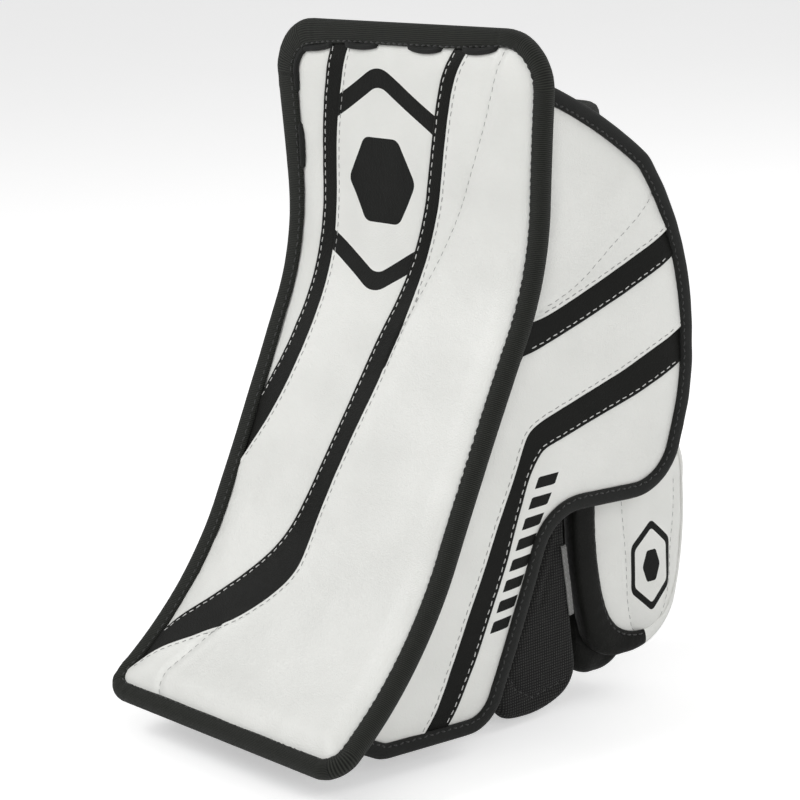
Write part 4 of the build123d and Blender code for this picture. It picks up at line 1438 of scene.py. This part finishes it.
def glove():
    """Glove body from the wrist to the knuckles: fabric back, suede palm, flared into the cuff."""
    sides, rows = 72, 34
    seams = (6, 30)        # places round the section where the palm is sewn to the back
    rings = np.array([glove_ring(t, sides) for t in np.linspace(0, 1, rows)])
    side_paint = [int(seams[0] < k < seams[1]) for k in range(sides)]
    piece = tube("glove_body", rings, 2.2, [NYLON, SUEDE], side_paint=side_paint)
    pins = np.zeros((2, rows, sides), bool)
    pins[0, [0, 1, rows // 2, rows - 2, rows - 1]] = True
    pins[0][:, seams] = True
    pins[1] = True
    soften(piece, 1.2, 2.5, pins.ravel(), 0.05)
    dress(piece, "board", ("glove_back", "glove_palm"))
    stitch_rows = []
    for k in seams:
        path = resample(rings[:, k], 1.0)
        stitch_rows.append(row_on(piece, path, unit(path - rings.mean((0, 1)))))
    stitches("glove_side_stitching", stitch_rows, BLACK_THREAD, "board")
    return piece


def on_palm(q, rise):
    q = np.asarray(q, float)
    return hand_xyz(np.column_stack([q, HAND_THICKNESS + np.broadcast_to(rise, len(q))]))


def palm_layer(body):
    """Second suede layer over the palm of the glove body."""
    loop = resample(rounded_rectangle(68, 66, 14, 80) + np.array([0, 45]), 2.2, closed=True)
    rings = [resample(loop_inset(loop, d), 2.2, closed=True) for d in (0.8, 2.5)]
    points, faces = triangulate(loop, rings=rings, spacing=3.0)
    out = hand_xyz([[0, 0, 1]]) - hand_xyz([[0, 0, 0]])
    edge = np.abs(distance_to(points, loop, closed=True))
    flat = on_palm(points, 0)
    ground = (laid_on(body, flat, np.repeat(out, len(points), 0)) - flat) @ out[0]
    rise = ground - 0.3 + 1.7 * np.sqrt(np.clip(edge / 1.2, 0, 1)) - 0.4 * bell(edge - 3, 0.6)
    shell, shell_faces = thicken(on_palm(points, rise), on_palm(points, rise - 2.6), faces)
    piece = make_mesh("palm_patch_layer", shell, shell_faces, [SUEDE], np.vstack([points, points]))
    weld(piece, 0.001)
    dress(piece, "board", ("palm_patch",))
    seam = resample(closed_line(loop_inset(loop, 3.0)), 1.0)
    rows = [row_on(piece, on_palm(seam, 0), np.repeat(out, len(seam), 0))]
    stitches("palm_patch_stitching", rows, BLACK_THREAD, "board")


def little_finger_guard():
    """Padded guard beside the little finger, with three ribs."""
    def beside_hand(q, rise):
        q = np.asarray(q, float)
        return hand_xyz(np.column_stack([-HAND_WIDTH / 2 - 4.2 - np.broadcast_to(rise, len(q)), q]))

    def ribs(q):
        return -1.3 * sum(bell(q[:, 0] - v, 1.8) for v in GUARD_RIBS)

    loop = rounded_rectangle(122, 36, 15, 100) + np.array([111, 22])
    piece, points, sewn = pillow("little_finger_side_pad", loop, beside_hand, 3.9, -3.4, 6.0, MESH_FABRIC,
                                 relief=ribs)
    sewn |= np.tile(np.abs(points[:, 0, None] - GUARD_RIBS).min(1) < 2.2, 2)
    soften(piece, 2.0, 2.0, sewn, 0.04)
    dress(piece, "board", ("little_finger_guard",))


GUARD_RIBS = (80, 111, 142)


def finger_ring(v, index, is_tip, hinges, tip, split, sides):
    """Section of a finger sleeve: full over the bones, waisted and folded at its hinges."""
    waist = 1.3 * sum(bell(v - hinge, 5.0) for hinge in hinges)
    close = tip_closing(v, tip, 11)
    out = 0.25 if is_tip else -0.25 * (v > split - 6)
    low, high = 6.0 + 0.7 * waist - out, 34.0 - waist + out
    depth = (low + high) / 2
    width = FINGER_WIDTH + 2 * out - 0.8 * waist
    section = rounded_rectangle(width, high - low, 9.0, sides) * max(close, 0.06)
    palm_side = np.clip(section[:, 1] / 14, 0, 1)
    fold = sum(bell(v - hinge - d, 1.5) for hinge in hinges for d in (-5, 0, 5))
    ripple = waver(section[:, 0] * 0.12 + 9 * index, v * 0.16, (depth + section[:, 1]) * 0.12)
    back_rib = 0.8 * (1 - palm_side) * cos((v - KNUCKLE) * 2 * pi / 13) * (close > 0.9) * (section[:, 1] < -6)
    section = pulled_in(section, (0.9 * fold * palm_side - 0.55 * ripple - back_rib + 0.5) * close)
    x = (1.5 - index) * FINGER_PITCH
    return hand_xyz(np.column_stack([x + section[:, 0], np.full(sides, v), depth + section[:, 1]]))


def finger(index, name, proximal, distal):
    """Base and tip sleeves of one finger, each baked in place in place of its CAD node."""
    x = (1.5 - index) * FINGER_PITCH
    middle, tip = KNUCKLE + proximal, KNUCKLE + proximal + distal
    split = KNUCKLE + proximal / 2 + 2
    sides = 48
    side_paint = [int(6 < k < 18) for k in range(sides)]
    for part, node, bodies, hinge, start, end, rows in (
            ("base", "proximal", ("board", name + "_base"), KNUCKLE, KNUCKLE - 12, split + 1.5, 26),
            ("tip", "distal", (name + "_base", name + "_tip"), middle, split - 1.5, tip - 0.3, 40)):
        is_tip = part == "tip"
        shares = np.linspace(0, 1, rows)
        if is_tip:
            shares = 1 - (1 - shares) ** 1.25
        rings = [finger_ring(start + (end - start) * t, index, is_tip, (KNUCKLE, middle), tip, split, sides)
                 for t in shares]
        piece = tube(f"{name}_finger_{part}_sleeve", rings, 1.6, [BLACK_LEATHER, SUEDE], (False, is_tip),
                     side_paint)
        subdivide(piece)
        bend = hand_xyz([(x, hinge - 13, CURL_DEPTH), (x, hinge + 13, CURL_DEPTH)])
        dress(piece, (*bodies, *bend), (f"{name}_finger_{node}",))


# ---------------------------------------------------------------- index guard and thumb

GUARD_PLACE, GUARD_NORMAL = wing(68.0, radians(5.0))
THUMB_PLACE, THUMB_NORMAL = wing(69.0, radians(8.0))


GUARD_SEAM = np.array([(-9.0, 318.0), (-3.0, 331.0), (8.0, 338.0), (31.0, 334.0)])
GUARD_RIDGE = np.array([(22.0, 212.0), (30.0, 250.0), (15.0, 290.0)])


def index_guard():
    """Padded mesh side of the index finger."""
    loop = resample(np.vstack([np.array([(33, 206), (12, 206), (25, 248), (-12, 328)]),
                               arc((-12, 328), (-14, 341), (-2, 347.5)),
                               arc((-2, 347.5), (12, 348), (28, 344)),
                               arc((28, 344), (37.5, 336), (39, 322)), np.array([(34, 268)])]),
                    2.5, closed=True)

    def relief(q):
        return -1.1 * bell(distance_to(q, GUARD_SEAM), 1.4) - 0.9 * bell(distance_to(q, GUARD_RIDGE), 1.6)

    piece, points, sewn = pillow("index_guard_cushion", smooth(closed_line(loop), 3)[:-1], GUARD_PLACE,
                                 0.6, -9.4, 4.6, MESH_FABRIC, relief=relief, spacing=2.6)
    for line in (GUARD_SEAM, GUARD_RIDGE):
        sewn |= np.tile(np.abs(distance_to(points, line)) < 1.5, 2)
    soften(piece, 2.2, 1.8, sewn, 0.05)
    dress(piece, "board", ("index_guard_pad",))
    line = resample(GUARD_SEAM, 1.0)
    rows = [row_on(piece, GUARD_PLACE(line, 0.2), GUARD_NORMAL(line))]
    stitches("index_guard_stitching", rows, BLACK_THREAD, "board")


def index_guard_strip():
    """Grey tape along the palm side of the index guard."""
    line = resample(np.array([(31.2, 262.0), (33.6, 280.0), (35.8, 300.0)]), 2.0)
    section = rounded_rectangle(4.6, 1.4, 0.6, 16)
    wave = 0.35 * waver(np.arange(len(line)) * 0.3, 4.0, 8.0)
    rings = []
    for k, q in enumerate(line):
        flat = q[None] + np.outer(section[:, 0], (1.0, 0.05))
        rings.append(GUARD_PLACE(flat, 0.35 + wave[k] + section[:, 1] - 0.35 * (flat[:, 0] - q[0])))
    piece = tube("index_guard_edge_strip", rings, 0.5, [GREY_TAPE], (True, True))
    dress(piece, "board", ("index_guard_tape",))
    rows = []
    for side in (-1.5, 1.5):
        path = resample(line + np.array([side, 0]), 1.0)
        rows.append(row_on(piece, GUARD_PLACE(path, 0.5), GUARD_NORMAL(path), (2.2, 1.0, 0.25)))
    stitches("index_guard_strip_stitching", rows, GREY_THREAD, "board")


def index_guard_gusset():
    """Fabric between the glove and the index guard."""
    def bridge(q, rise):
        q = np.asarray(q, float)
        return hand_xyz(np.column_stack([q, 5.5 + np.broadcast_to(rise, len(q))]))

    loop = rounded_rectangle(19.5, 22, 3, 40) + np.array([57.5, 84])
    piece, _, sewn = pillow("index_guard_gusset", loop, bridge, 2.2, -1.6, 1.8, NYLON, spacing=1.6)
    soften(piece, 1.0, 1.0, sewn, 0.08)
    dress(piece, "board", ("side_gusset",))


THUMB_CORNERS = ((39, 224), (45, 313), (69, 329), (104, 308), (111, 242), (93, 209), (48, 208), (39, 224))
THUMB_MIDDLES = ((38, 271), (53, 325), (89, 325), (110, 278), (106, 219), (70, 205), (41, 213))
THUMB_LOOP = resample(np.vstack([arc(a, b, c)[:-1] for a, b, c in
                                 zip(THUMB_CORNERS, THUMB_MIDDLES, THUMB_CORNERS[1:])]), 2.0, closed=True)
THUMB_SEAM = spline(((67.5, 236), (68.6, 249), (71, 282), (73.4, 311), (77, 318.5), (84, 320.5), (92, 318),
                     (97.5, 309), (101, 282), (104, 250), (104, 240)))
THUMB_EMBLEM = [hexagon((0, 0), radius, corner, turn) * np.array([0.40, 0.66]) + np.array([86.5, 284.0])
                for radius, corner, turn in ((38, 9, pi / 6), (31, 6, pi / 6), (15, 4, 0))]
THUMB_TAPE_WIDTH = 13.0
THUMB_FRONT_CORNER = (56.0, 322.0)


def tape_width(loop):
    """Share of the full tape width round the thumb guard: wide in front and below, none on the palm side."""
    front = soft_step(-loop[:, 0], -62, 3.5)
    below = soft_step(-loop[:, 0], -84, 3.0) * soft_step(loop[:, 1], 300, 6)
    return np.clip(np.maximum(front, 0.8 * below), 0.1, 1.0)


def tape_edge():
    """Inner edge of the thumb guard's tape, eased round the front corner."""
    inset = loop_inset(THUMB_LOOP, 1.0)
    line = inset + (inset - THUMB_LOOP) * (THUMB_WIDTH - 1)[:, None]
    near_corner = bell(np.linalg.norm(THUMB_LOOP - THUMB_FRONT_CORNER, axis=1), 34.0)
    for _ in range(260):
        calm = (np.roll(line, 1, 0) + 2 * line + np.roll(line, -1, 0)) / 4
        line = line + (calm - line) * (0.1 + 0.9 * near_corner)[:, None]
    return line


THUMB_WIDTH = tape_width(THUMB_LOOP) * THUMB_TAPE_WIDTH
THUMB_INNER = tape_edge()


def thumb_rise(q):
    in_seam = inside(q, np.vstack([THUMB_SEAM, [(104, 200), (67, 200)]]))
    to_seam = np.abs(distance_to(q, THUMB_SEAM)) * np.where(in_seam, 1, -1)
    rise = -2.2 + 2.6 * rounded((depth_in(q, THUMB_INNER) + 3) / 11) + 1.3 * rounded(to_seam / 14)
    return rise - 0.9 * bell(to_seam, 1.1) + tufts(q, 0.06, 0.35, 91.0)


def thumb_face():
    """White face of the thumb guard with its stitched seam."""
    inset = loop_inset(THUMB_LOOP, 0.4)
    loop = resample(inset + 0.8 * (THUMB_INNER - inset), 2.0, closed=True)
    lines = [THUMB_SEAM, beside(THUMB_SEAM, 1.0), beside(THUMB_SEAM, -1.0)]
    points, faces = triangulate(loop, lines, THUMB_EMBLEM, 2.2)
    rise = thumb_rise(points)
    back = THUMB_PLACE(points, rise - LEATHER)
    shell, shell_faces = thicken(THUMB_PLACE(points, rise), back, faces[:, ::-1])
    paint = np.zeros(len(shell_faces), int)
    paint[:len(faces)] = in_emblem(points[faces].mean(1), THUMB_EMBLEM)
    piece = make_mesh("thumb_guard_face", shell, shell_faces, [WHITE_LEATHER, BLACK_PRINT],
                      np.vstack([points, points]), paint)
    dress(piece, "thumb", ("thumb_guard_cover",))
    line = resample(THUMB_SEAM, 1.0)
    rows = [(THUMB_PLACE(line, thumb_rise(line)), THUMB_NORMAL(line), *CREASE_STITCH)]
    stitches("thumb_guard_stitching", rows, GREY_THREAD, "thumb")


def thumb_back():
    """Knitted lining over the foam, towards the thumb."""
    piece, _, sewn = pillow("thumb_guard_back_pad", loop_inset(THUMB_LOOP, 2.5), THUMB_PLACE, -5.4, -10.6,
                            5.0, KNIT)
    soften(piece, 1.6, 1.5, sewn, 0.04)
    dress(piece, "thumb", ("thumb_guard_lining", "thumb_guard_foam"))


# Cross-section of the tape: (share of its width in from the edge, rise over the face)
THUMB_TAPE = ((1.0, -0.9), (0.99, 0.1), (0.93, 0.9), (0.78, 1.5), (0.55, 1.8), (0.32, 1.5), (0.14, 0.5),
              (0.03, -1.1), (0.0, -3.0), (0.0, -6.0), (0.03, -8.6), (0.12, -9.9), (0.26, -10.6),
              (0.42, -10.8), (0.5, -10.5), (0.52, -9.9))


def thumb_tape():
    """Tape round the thumb guard: black and wide in front and below, white and narrow on the palm side."""
    gather = waver(np.arange(len(THUMB_LOOP)) * 0.45, 6.0, 1.0) * 0.3
    swell = THUMB_WIDTH / THUMB_TAPE_WIDTH
    loops = []
    for share, rise in THUMB_TAPE:
        ring = THUMB_LOOP + (THUMB_INNER - THUMB_LOOP) * share
        if rise < -7:
            ring = loop_inset(THUMB_LOOP, share * 10)
        lift = -1.6 + (rise + 1.6) * (0.25 + 0.75 * swell) if rise > -1 else rise
        loops.append((ring, lift + gather * swell))
    swept_tape("thumb_guard_edge_tape", loops, THUMB_PLACE, [BLACK_LEATHER, WHITE_LEATHER], "thumb",
               ["thumb_guard_binding"], paint=lambda k: int(THUMB_WIDTH[k] < 5.5))
    wide = np.flatnonzero(THUMB_WIDTH > 6)
    breaks = np.flatnonzero(np.diff(wide) > 1)
    start = wide[breaks[0] + 1] if len(breaks) else wide[0]
    run = (start + np.arange(len(wide))) % len(THUMB_LOOP)
    seam = resample(THUMB_LOOP[run] + (THUMB_INNER - THUMB_LOOP)[run] * 0.86, 1.0)
    rows = [(THUMB_PLACE(seam, 1.15), THUMB_NORMAL(seam), 3.0, 1.0, 0.4)]
    stitches("thumb_guard_edge_stitching", rows, BLACK_THREAD, "thumb")


SLEEVE_CREASES = (226, 240, 252, 271, 284, 303, 319)
SLEEVE_FRONT, SLEEVE_BACK = 45.0, 93.0
SLEEVE_START, SLEEVE_TIP = 208.0, 343.0


def sleeve_ring(drop, sides):
    """Section of the thumb sleeve at a drop below the board's top: creased, slimmer towards its tip."""
    close = max(tip_closing(drop, SLEEVE_TIP, 14), 0.06)
    slim = 1 - 0.30 * np.clip((drop - 270) / 73, 0, 1)
    width = (SLEEVE_BACK - SLEEVE_FRONT - 1) * slim * close
    section = rounded_rectangle(width, 22.4 * close, 9.5 * close, sides)
    a, b = section.T
    ripple = waver(a * 0.1, drop * 0.1, b * 0.1 + 40)
    sag = 7 * waver(a * 0.04, 7.0, b * 0.04)
    crease = sum(bell(drop + sag - d, 1.7) for d in SLEEVE_CREASES)
    section = pulled_in(section, 1.3 * crease * close - 1.1 * ripple * close + 0.3)
    middle = (SLEEVE_FRONT + SLEEVE_BACK) / 2 - 7.0 * np.clip((drop - 262) / 81, 0, 1)
    flat = np.column_stack([middle + section[:, 0], np.full(sides, drop)])
    return THUMB_PLACE(flat, -22.3 + section[:, 1])


def thumb_sleeve():
    """Padded sleeve for the thumb; returns the ring that the fabric towards the glove meets."""
    shares = 1 - (1 - np.linspace(0, 1, 64)) ** 1.25
    rings = [sleeve_ring(SLEEVE_START + (SLEEVE_TIP - SLEEVE_START) * t, 48) for t in shares]
    piece = tube("thumb_sleeve", rings, 2.0, [BLACK_LEATHER], (False, True))
    subdivide(piece)
    dress(piece, "thumb", ("thumb_stall",))
    return rings[2]


def matched(ring, target):
    """A ring turned, and reversed if that is closer, so that its points lie opposite those of the target."""
    def miss(line):
        return np.linalg.norm(line - ring.mean(0) - (target - target.mean(0)), axis=1).sum()
    return min((np.roll(line, k, 0) for line in (ring, ring[::-1]) for k in range(len(ring))), key=miss)


def thumb_web(low):
    """Gathered fabric that joins the thumb sleeve to the glove."""
    start = rounded_rectangle(34, 24, 10, len(low))
    side = np.full(len(low), HAND_WIDTH / 2 - 3.0)
    upper = matched(hand_xyz(np.column_stack([side, 66 - start[:, 0], 27 + start[:, 1]])), low)
    middle = low.mean(0)
    lower = middle + (low - middle) * 0.93
    web = []
    for t in np.linspace(0, 1, 16):
        ease = t * t * (3 - 2 * t)
        ring = upper * (1 - ease) + lower * ease
        fold = 0.9 * sin(t * 7 * pi) * (1 - abs(2 * t - 1))
        web.append(ring + np.array([6.0, 4.0, -3.0]) * sin(pi * t) + unit(ring - ring.mean(0)) * fold)
    piece = tube("thumb_web", web, 1.4, [NYLON])
    weld(piece, 0.001)
    subdivide(piece)
    dress(piece, ("board", "thumb", upper.mean(0), middle))


# ---------------------------------------------------------------- cuff and strap

def cuff_path(grow, count=CUFF_COLUMNS):
    """Open path round the cuff, from the thumb side of its slit the long way round to the other side."""
    loop = rounded_rectangle(CUFF_WIDTH + 2 * grow, CUFF_DEPTH + 2 * grow, 25.0 + grow, 600) + CUFF_MIDDLE
    x, y = loop.T
    gap = (y > CUFF_MIDDLE[1]) & (x > CUFF_SLIT[0]) & (x < CUFF_SLIT[1])
    order = np.roll(np.arange(600), -(np.flatnonzero(gap)[-1] + 1))
    return resample_count(loop[order[~gap[order]]], count)


def outward(path, middle):
    """Sideways direction at each point of a flat path, away from the middle."""
    way = tangent(path)
    out = np.stack([-way[:, 1], way[:, 0]], 1)
    return out * np.sign((out * (path - middle)).sum(1))[:, None]


def cuff_level(path, share):
    """Heights at a share of the way from the wrist line of the tilted hand up to the top of the cuff."""
    wrist = TOP_Z - WRIST_DROP + (1.5 - (path[:, 1] - WRIST_Y) * sin(HAND_TILT)) / cos(HAND_TILT)
    return wrist + (CUFF_TOP - wrist) * share


def under_strap(path, z):
    """Share from 0 to 1 by which the strap presses on the cuff's padding."""
    return np.exp(-((z - STRAP_Z) / (STRAP_WIDTH / 2 + 4)) ** 8) * soft_step(path[:, 1], 42, 2)


def cuff_section():
    """(growth of the cuff's path, share of its height), up the outside and down the inside."""
    up, down = np.linspace(0.09, 0.95, 16), np.linspace(0.95, 0.05, 16)
    return [(-3.0, 0.0), (-0.8, 0.012), (0.0, 0.05), *((0.0, t) for t in up), (-0.6, 0.985), (-3.5, 1.0),
            (-7.4, 0.985), *((-8.2, t) for t in down), (-7.6, 0.012), (-6.0, 0.0)]


def cuff_line(grow, share):
    """One line of the padding along the cuff, and where the strap presses it."""
    path = cuff_path(grow)
    z = cuff_level(path, share)
    quilt = sum(bell(share - row, 0.018) for row in CUFF_QUILT)
    swell = abs(sin(pi * np.clip(share, 0.02, 0.98) * 3.05)) ** 0.6 * (1.6 if grow > -1 else 0.8)
    place = np.arange(CUFF_COLUMNS)
    end = np.minimum(place, place[::-1]) / 6.0
    bulge = (swell - 0.8 * quilt) * np.sqrt(np.clip(end, 0, 1)) * (1 if grow > -4 else -1)
    press = under_strap(path, z)
    flat = path + outward(path, path.mean(0)) * (bulge * (1 - 0.9 * press))[:, None]
    return np.column_stack([flat, z]), press > 0.4


def cuff():
    """Padding round the wrist in nylon, knitted inside, swelling between its rows of stitches."""
    section = cuff_section()
    lines, pressed = zip(*(cuff_line(grow, share) for grow, share in section))
    points = np.stack(lines, 1).reshape(-1, 3)
    count, width = CUFF_COLUMNS, len(section)
    faces, paint = [], []
    for i in range(count - 1):
        for k, m in neighbours(width):
            faces.append((i * width + k, i * width + m, (i + 1) * width + m, (i + 1) * width + k))
            paint.append(int(k > 20))
    faces += [tuple(range(width))[::-1], tuple((count - 1) * width + k for k in range(width))]
    uv = np.stack([np.repeat(np.arange(count) * 2.4, width), points[:, 2]], 1)
    piece = make_mesh("cuff_padding", points, faces, [NYLON, KNIT], uv, paint + [0, 0])
    weld(piece, 0.0001)
    level = np.tile([share for _, share in section], count)
    column = np.repeat(np.arange(count), width)
    sewn = (level > 0.86) | (level < 0.03) | (column < 2) | (column > count - 3)
    for row in CUFF_QUILT:
        sewn |= np.abs(level - row) < 0.03
    soften(piece, 2.4, 2.2, sewn | np.stack(pressed, 1).ravel(), 0.05)
    dress(piece, "board", ("cuff_pad", "cuff_lining"))
    path = resample(cuff_path(0.2, 400), 1.0)
    out = np.column_stack([unit(path - path.mean(0)), np.zeros(len(path))])
    rows = [row_on(piece, np.column_stack([path, cuff_level(path, row)]), out, reach=5.0)
            for row in CUFF_QUILT]
    stitches("cuff_stitching", rows, GREY_THREAD, "board")


# Cross-section of the rim tape: (growth of the cuff's path, rise over the top of the cuff)
CUFF_RIM = ((1.9, -8.0), (2.4, -5.0), (2.0, -2.0), (1.0, 0.2), (-1.0, 1.4), (-4.0, 1.7), (-7.5, 1.4),
            (-9.2, 0.2), (-9.8, -2.0), (-9.8, -5.0), (-9.6, -8.0))


def cuff_rim():
    wave = 0.35 * waver(np.arange(CUFF_COLUMNS) * 0.12, 2.0, 5.0)
    loops = [(cuff_path(grow), CUFF_TOP + rise + 0.3 + wave) for grow, rise in CUFF_RIM]
    swept_tape("cuff_rim_tape", loops, lambda path, z: np.column_stack([path, z]), [SIDE_RIB_TAPE], "board",
               ["cuff_binding"], closed=False)


def ribbon(line, lift, thickness, width, corner, taper=None):
    """Rings of a flat upright band along a line round the cuff; lift is how far it stands off the line."""
    section = rounded_rectangle(thickness, width, corner, 40)
    out = outward(line, CUFF_MIDDLE)
    taper = np.ones(len(line)) if taper is None else taper
    return [np.column_stack([spot + way * (off + section[:, :1]), STRAP_Z + section[:, 1] * share])
            for spot, way, off, share in zip(line, out, lift, taper)]


def band(name, grow, thickness, width, where, material, body, node):
    """Flat band round the part of the cuff whose points pass a test."""
    found = np.flatnonzero(where(*cuff_path(2.0, 600).T))
    line = resample_count(cuff_path(grow, 600)[found[0]:found[-1] + 1], 90)
    wave = 0.25 * waver(np.arange(90) * 0.08, grow, 6.0)
    rings = ribbon(line, thickness / 2 + wave, thickness, width, thickness * 0.45)
    piece = tube(name, rings, min(0.5, thickness * 0.3), [material], (True, True))
    dress(piece, body, [node])


def closure():
    """Hook and loop patches on the outer side of the cuff, and the sewn end of the strap at its slit."""
    def outer_side(x, y):
        return (x < HAND_X - CUFF_WIDTH / 2 + 3) & (y > 46) & (y < 80)

    def thumb_side_of_slit(x, y):
        return (x > 32.2) & (x < 42.5) & (y > 80)

    band("strap_loop_pile", 0.1, 1.0, STRAP_WIDTH - 2, outer_side, HOOK_AND_LOOP, "board",
         "strap_loop_patch")
    band("strap_hooks", 1.2, 0.9, STRAP_WIDTH - 4, outer_side, HOOK_AND_LOOP, "strap",
         "strap_hook_patch")
    band("strap_sewn_end", 0.3, 3.6, STRAP_WIDTH + 1, thumb_side_of_slit, SMOOTH_TAPE,
         "board", "strap_anchor")


def strap():
    """Webbing from the thumb side of the slit, across it and round the outer side of the cuff."""
    path = cuff_path(2.2, 600)
    x, y = path.T
    rear = path[(x < CUFF_SLIT[0] + 0.5) & (y > CUFF_MIDDLE[1])]
    if rear[0, 0] < rear[-1, 0]:
        rear = rear[np.argsort(-rear[:, 0] + 0.001 * np.arange(len(rear)))]
    outer = path[(x < HAND_X) & (y > 43) & (y <= CUFF_MIDDLE[1] + 1)]
    outer = outer[np.argsort(-outer[:, 1])]
    rear_y = CUFF_FRONT + CUFF_DEPTH
    line = resample_count(np.vstack([[(29.0, rear_y + 2.6)], [(11.0, rear_y + 2.9)], rear, outer]), 90)
    place = np.arange(90)
    taper = np.maximum(np.sqrt(np.clip((91 - place) / 5, 0, 1)), 0.25)
    rings = ribbon(line, 1.2 + 0.4 * waver(place * 0.07, 3.0, 9.0), 2.2, STRAP_WIDTH, 0.9, taper)
    piece = tube("wrist_strap_webbing", rings, 0.6, [SMOOTH_TAPE], (True, True))
    dress(piece, "strap", ("wrist_strap",))
    sewn, out = line[3:84], outward(line, CUFF_MIDDLE)[3:84]
    normal = np.column_stack([out, np.zeros(len(out))])
    rows = []
    for side in (-1, 1):
        z = np.full(len(sewn), STRAP_Z + side * (STRAP_WIDTH / 2 - 2.2))
        rows.append(row_on(piece, np.column_stack([sewn + out * 2.35, z]), normal, reach=3.0))
    stitches("wrist_strap_stitching", rows, GREY_THREAD, "strap")


def finish_plates():
    """The stiff sheets inside the board and the side board stay as the CAD has them."""
    for node in ("board_plate", "side_plate"):
        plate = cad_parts[node]
        plate.data.materials.clear()
        plate.data.materials.append(STIFF_SHEET)


board_cover()
board_tape()
board_laces()
board_back()
side_cover()
side_tape()
side_back()
side_front_roll()
riser()
palm_layer(glove())
little_finger_guard()
for number, (finger_name, proximal_bone, distal_bone) in enumerate(FINGERS):
    finger(number, finger_name, proximal_bone, distal_bone)
index_guard()
index_guard_strip()
index_guard_gusset()
thumb_face()
thumb_back()
thumb_tape()
thumb_web(thumb_sleeve())
cuff()
cuff_rim()
closure()
strap()
finish_plates()


# ---------------------------------------------------------------- floor, light and camera

FLOOR_DROP = 4 * MM        # below the lowest CAD point
AMBIENT = 0.42
FLOOR_GLOW = 0.42          # seen by the camera only, so that the floor reads as pale as the backdrop
FLOOR_SIZE = 6.0           # metres from the middle to each side
LAMP_TARGET = Vector((0, -0.03, -0.13))
LAMPS = (("key", (-0.9, -1.3, 1.3), 1.0, 20.0), ("fill", (1.7, -0.6, 0.5), 1.3, 11.0),
         ("rim", (0.6, 1.5, 1.1), 1.2, 11.0))


def floor():
    """Pale floor that looks as light as the backdrop to the camera."""
    z = cad_box[0][2] - FLOOR_DROP
    mesh = bpy.data.meshes.new("floor")
    corners = [(x * FLOOR_SIZE, y * FLOOR_SIZE, z) for x, y in ((-1, -1), (1, -1), (1, 1), (-1, 1))]
    mesh.from_pydata(corners, [], [(0, 1, 2, 3)])
    piece = bpy.data.objects.new("floor", mesh)
    bpy.context.scene.collection.objects.link(piece)
    s = Shader("pale_floor")
    tone = s.mix(s.noise(s.place(), 3.0), rgb(0.91, 0.91, 0.91), rgb(0.93, 0.93, 0.93))
    seen = s.add("ShaderNodeLightPath").outputs["Is Camera Ray"]
    s.set(s.surface.inputs["Emission Color"], rgb(1, 1, 1))
    s.set(s.surface.inputs["Emission Strength"], s.math("MULTIPLY", seen, FLOOR_GLOW))
    mesh.materials.append(s.finish(tone, 0.9))


def surroundings():
    """White backdrop for the camera, dimmer ambient light for the object."""
    world = bpy.data.worlds.new("studio")
    world.use_nodes = True
    tree = world.node_tree
    ambient = tree.nodes["Background"]
    ambient.inputs["Color"].default_value = rgb(1, 1, 1)
    ambient.inputs["Strength"].default_value = AMBIENT
    backdrop = tree.nodes.new("ShaderNodeBackground")
    backdrop.inputs["Strength"].default_value = 1.0
    rays = tree.nodes.new("ShaderNodeLightPath")
    blend = tree.nodes.new("ShaderNodeMixShader")
    tree.links.new(rays.outputs["Is Camera Ray"], blend.inputs[0])
    tree.links.new(ambient.outputs[0], blend.inputs[1])
    tree.links.new(backdrop.outputs[0], blend.inputs[2])
    tree.links.new(blend.outputs[0], tree.nodes["World Output"].inputs["Surface"])
    bpy.context.scene.world = world
    bpy.context.scene.view_settings.view_transform = "Standard"


def lamps():
    for name, place, size, power in LAMPS:
        light = bpy.data.lights.new(name, "AREA")
        light.size = size
        light.energy = power
        lamp = bpy.data.objects.new(name, light)
        lamp.location = place
        lamp.rotation_euler = (LAMP_TARGET - lamp.location).to_track_quat("-Z", "Y").to_euler()
        bpy.context.scene.collection.objects.link(lamp)


def camera():
    azimuth, elevation, roll = radians(48.0), radians(14.51), radians(-2.55)
    distance = 1178.0
    target = np.array([2.75, -40.0, -148.5])
    back = np.array([sin(azimuth) * cos(elevation), -cos(azimuth) * cos(elevation), sin(elevation)])
    right = unit(np.cross(-back, (0, 0, 1)))
    up = np.cross(right, -back)
    right, up = cos(roll) * right + sin(roll) * up, cos(roll) * up - sin(roll) * right
    data = bpy.data.cameras.new("camera")
    data.sensor_width = 36.0
    data.lens = 106.0
    data.shift_x = 0.047
    data.shift_y = 0.0185
    data.clip_end = 20.0
    eye = bpy.data.objects.new("camera", data)
    place = Matrix([[*row] for row in np.stack([right, up, back], 1)]).to_4x4()
    place.translation = Vector((target + back * distance) * MM)
    eye.matrix_world = place
    bpy.context.scene.collection.objects.link(eye)
    bpy.context.scene.camera = eye


floor()
surroundings()
lamps()
camera()
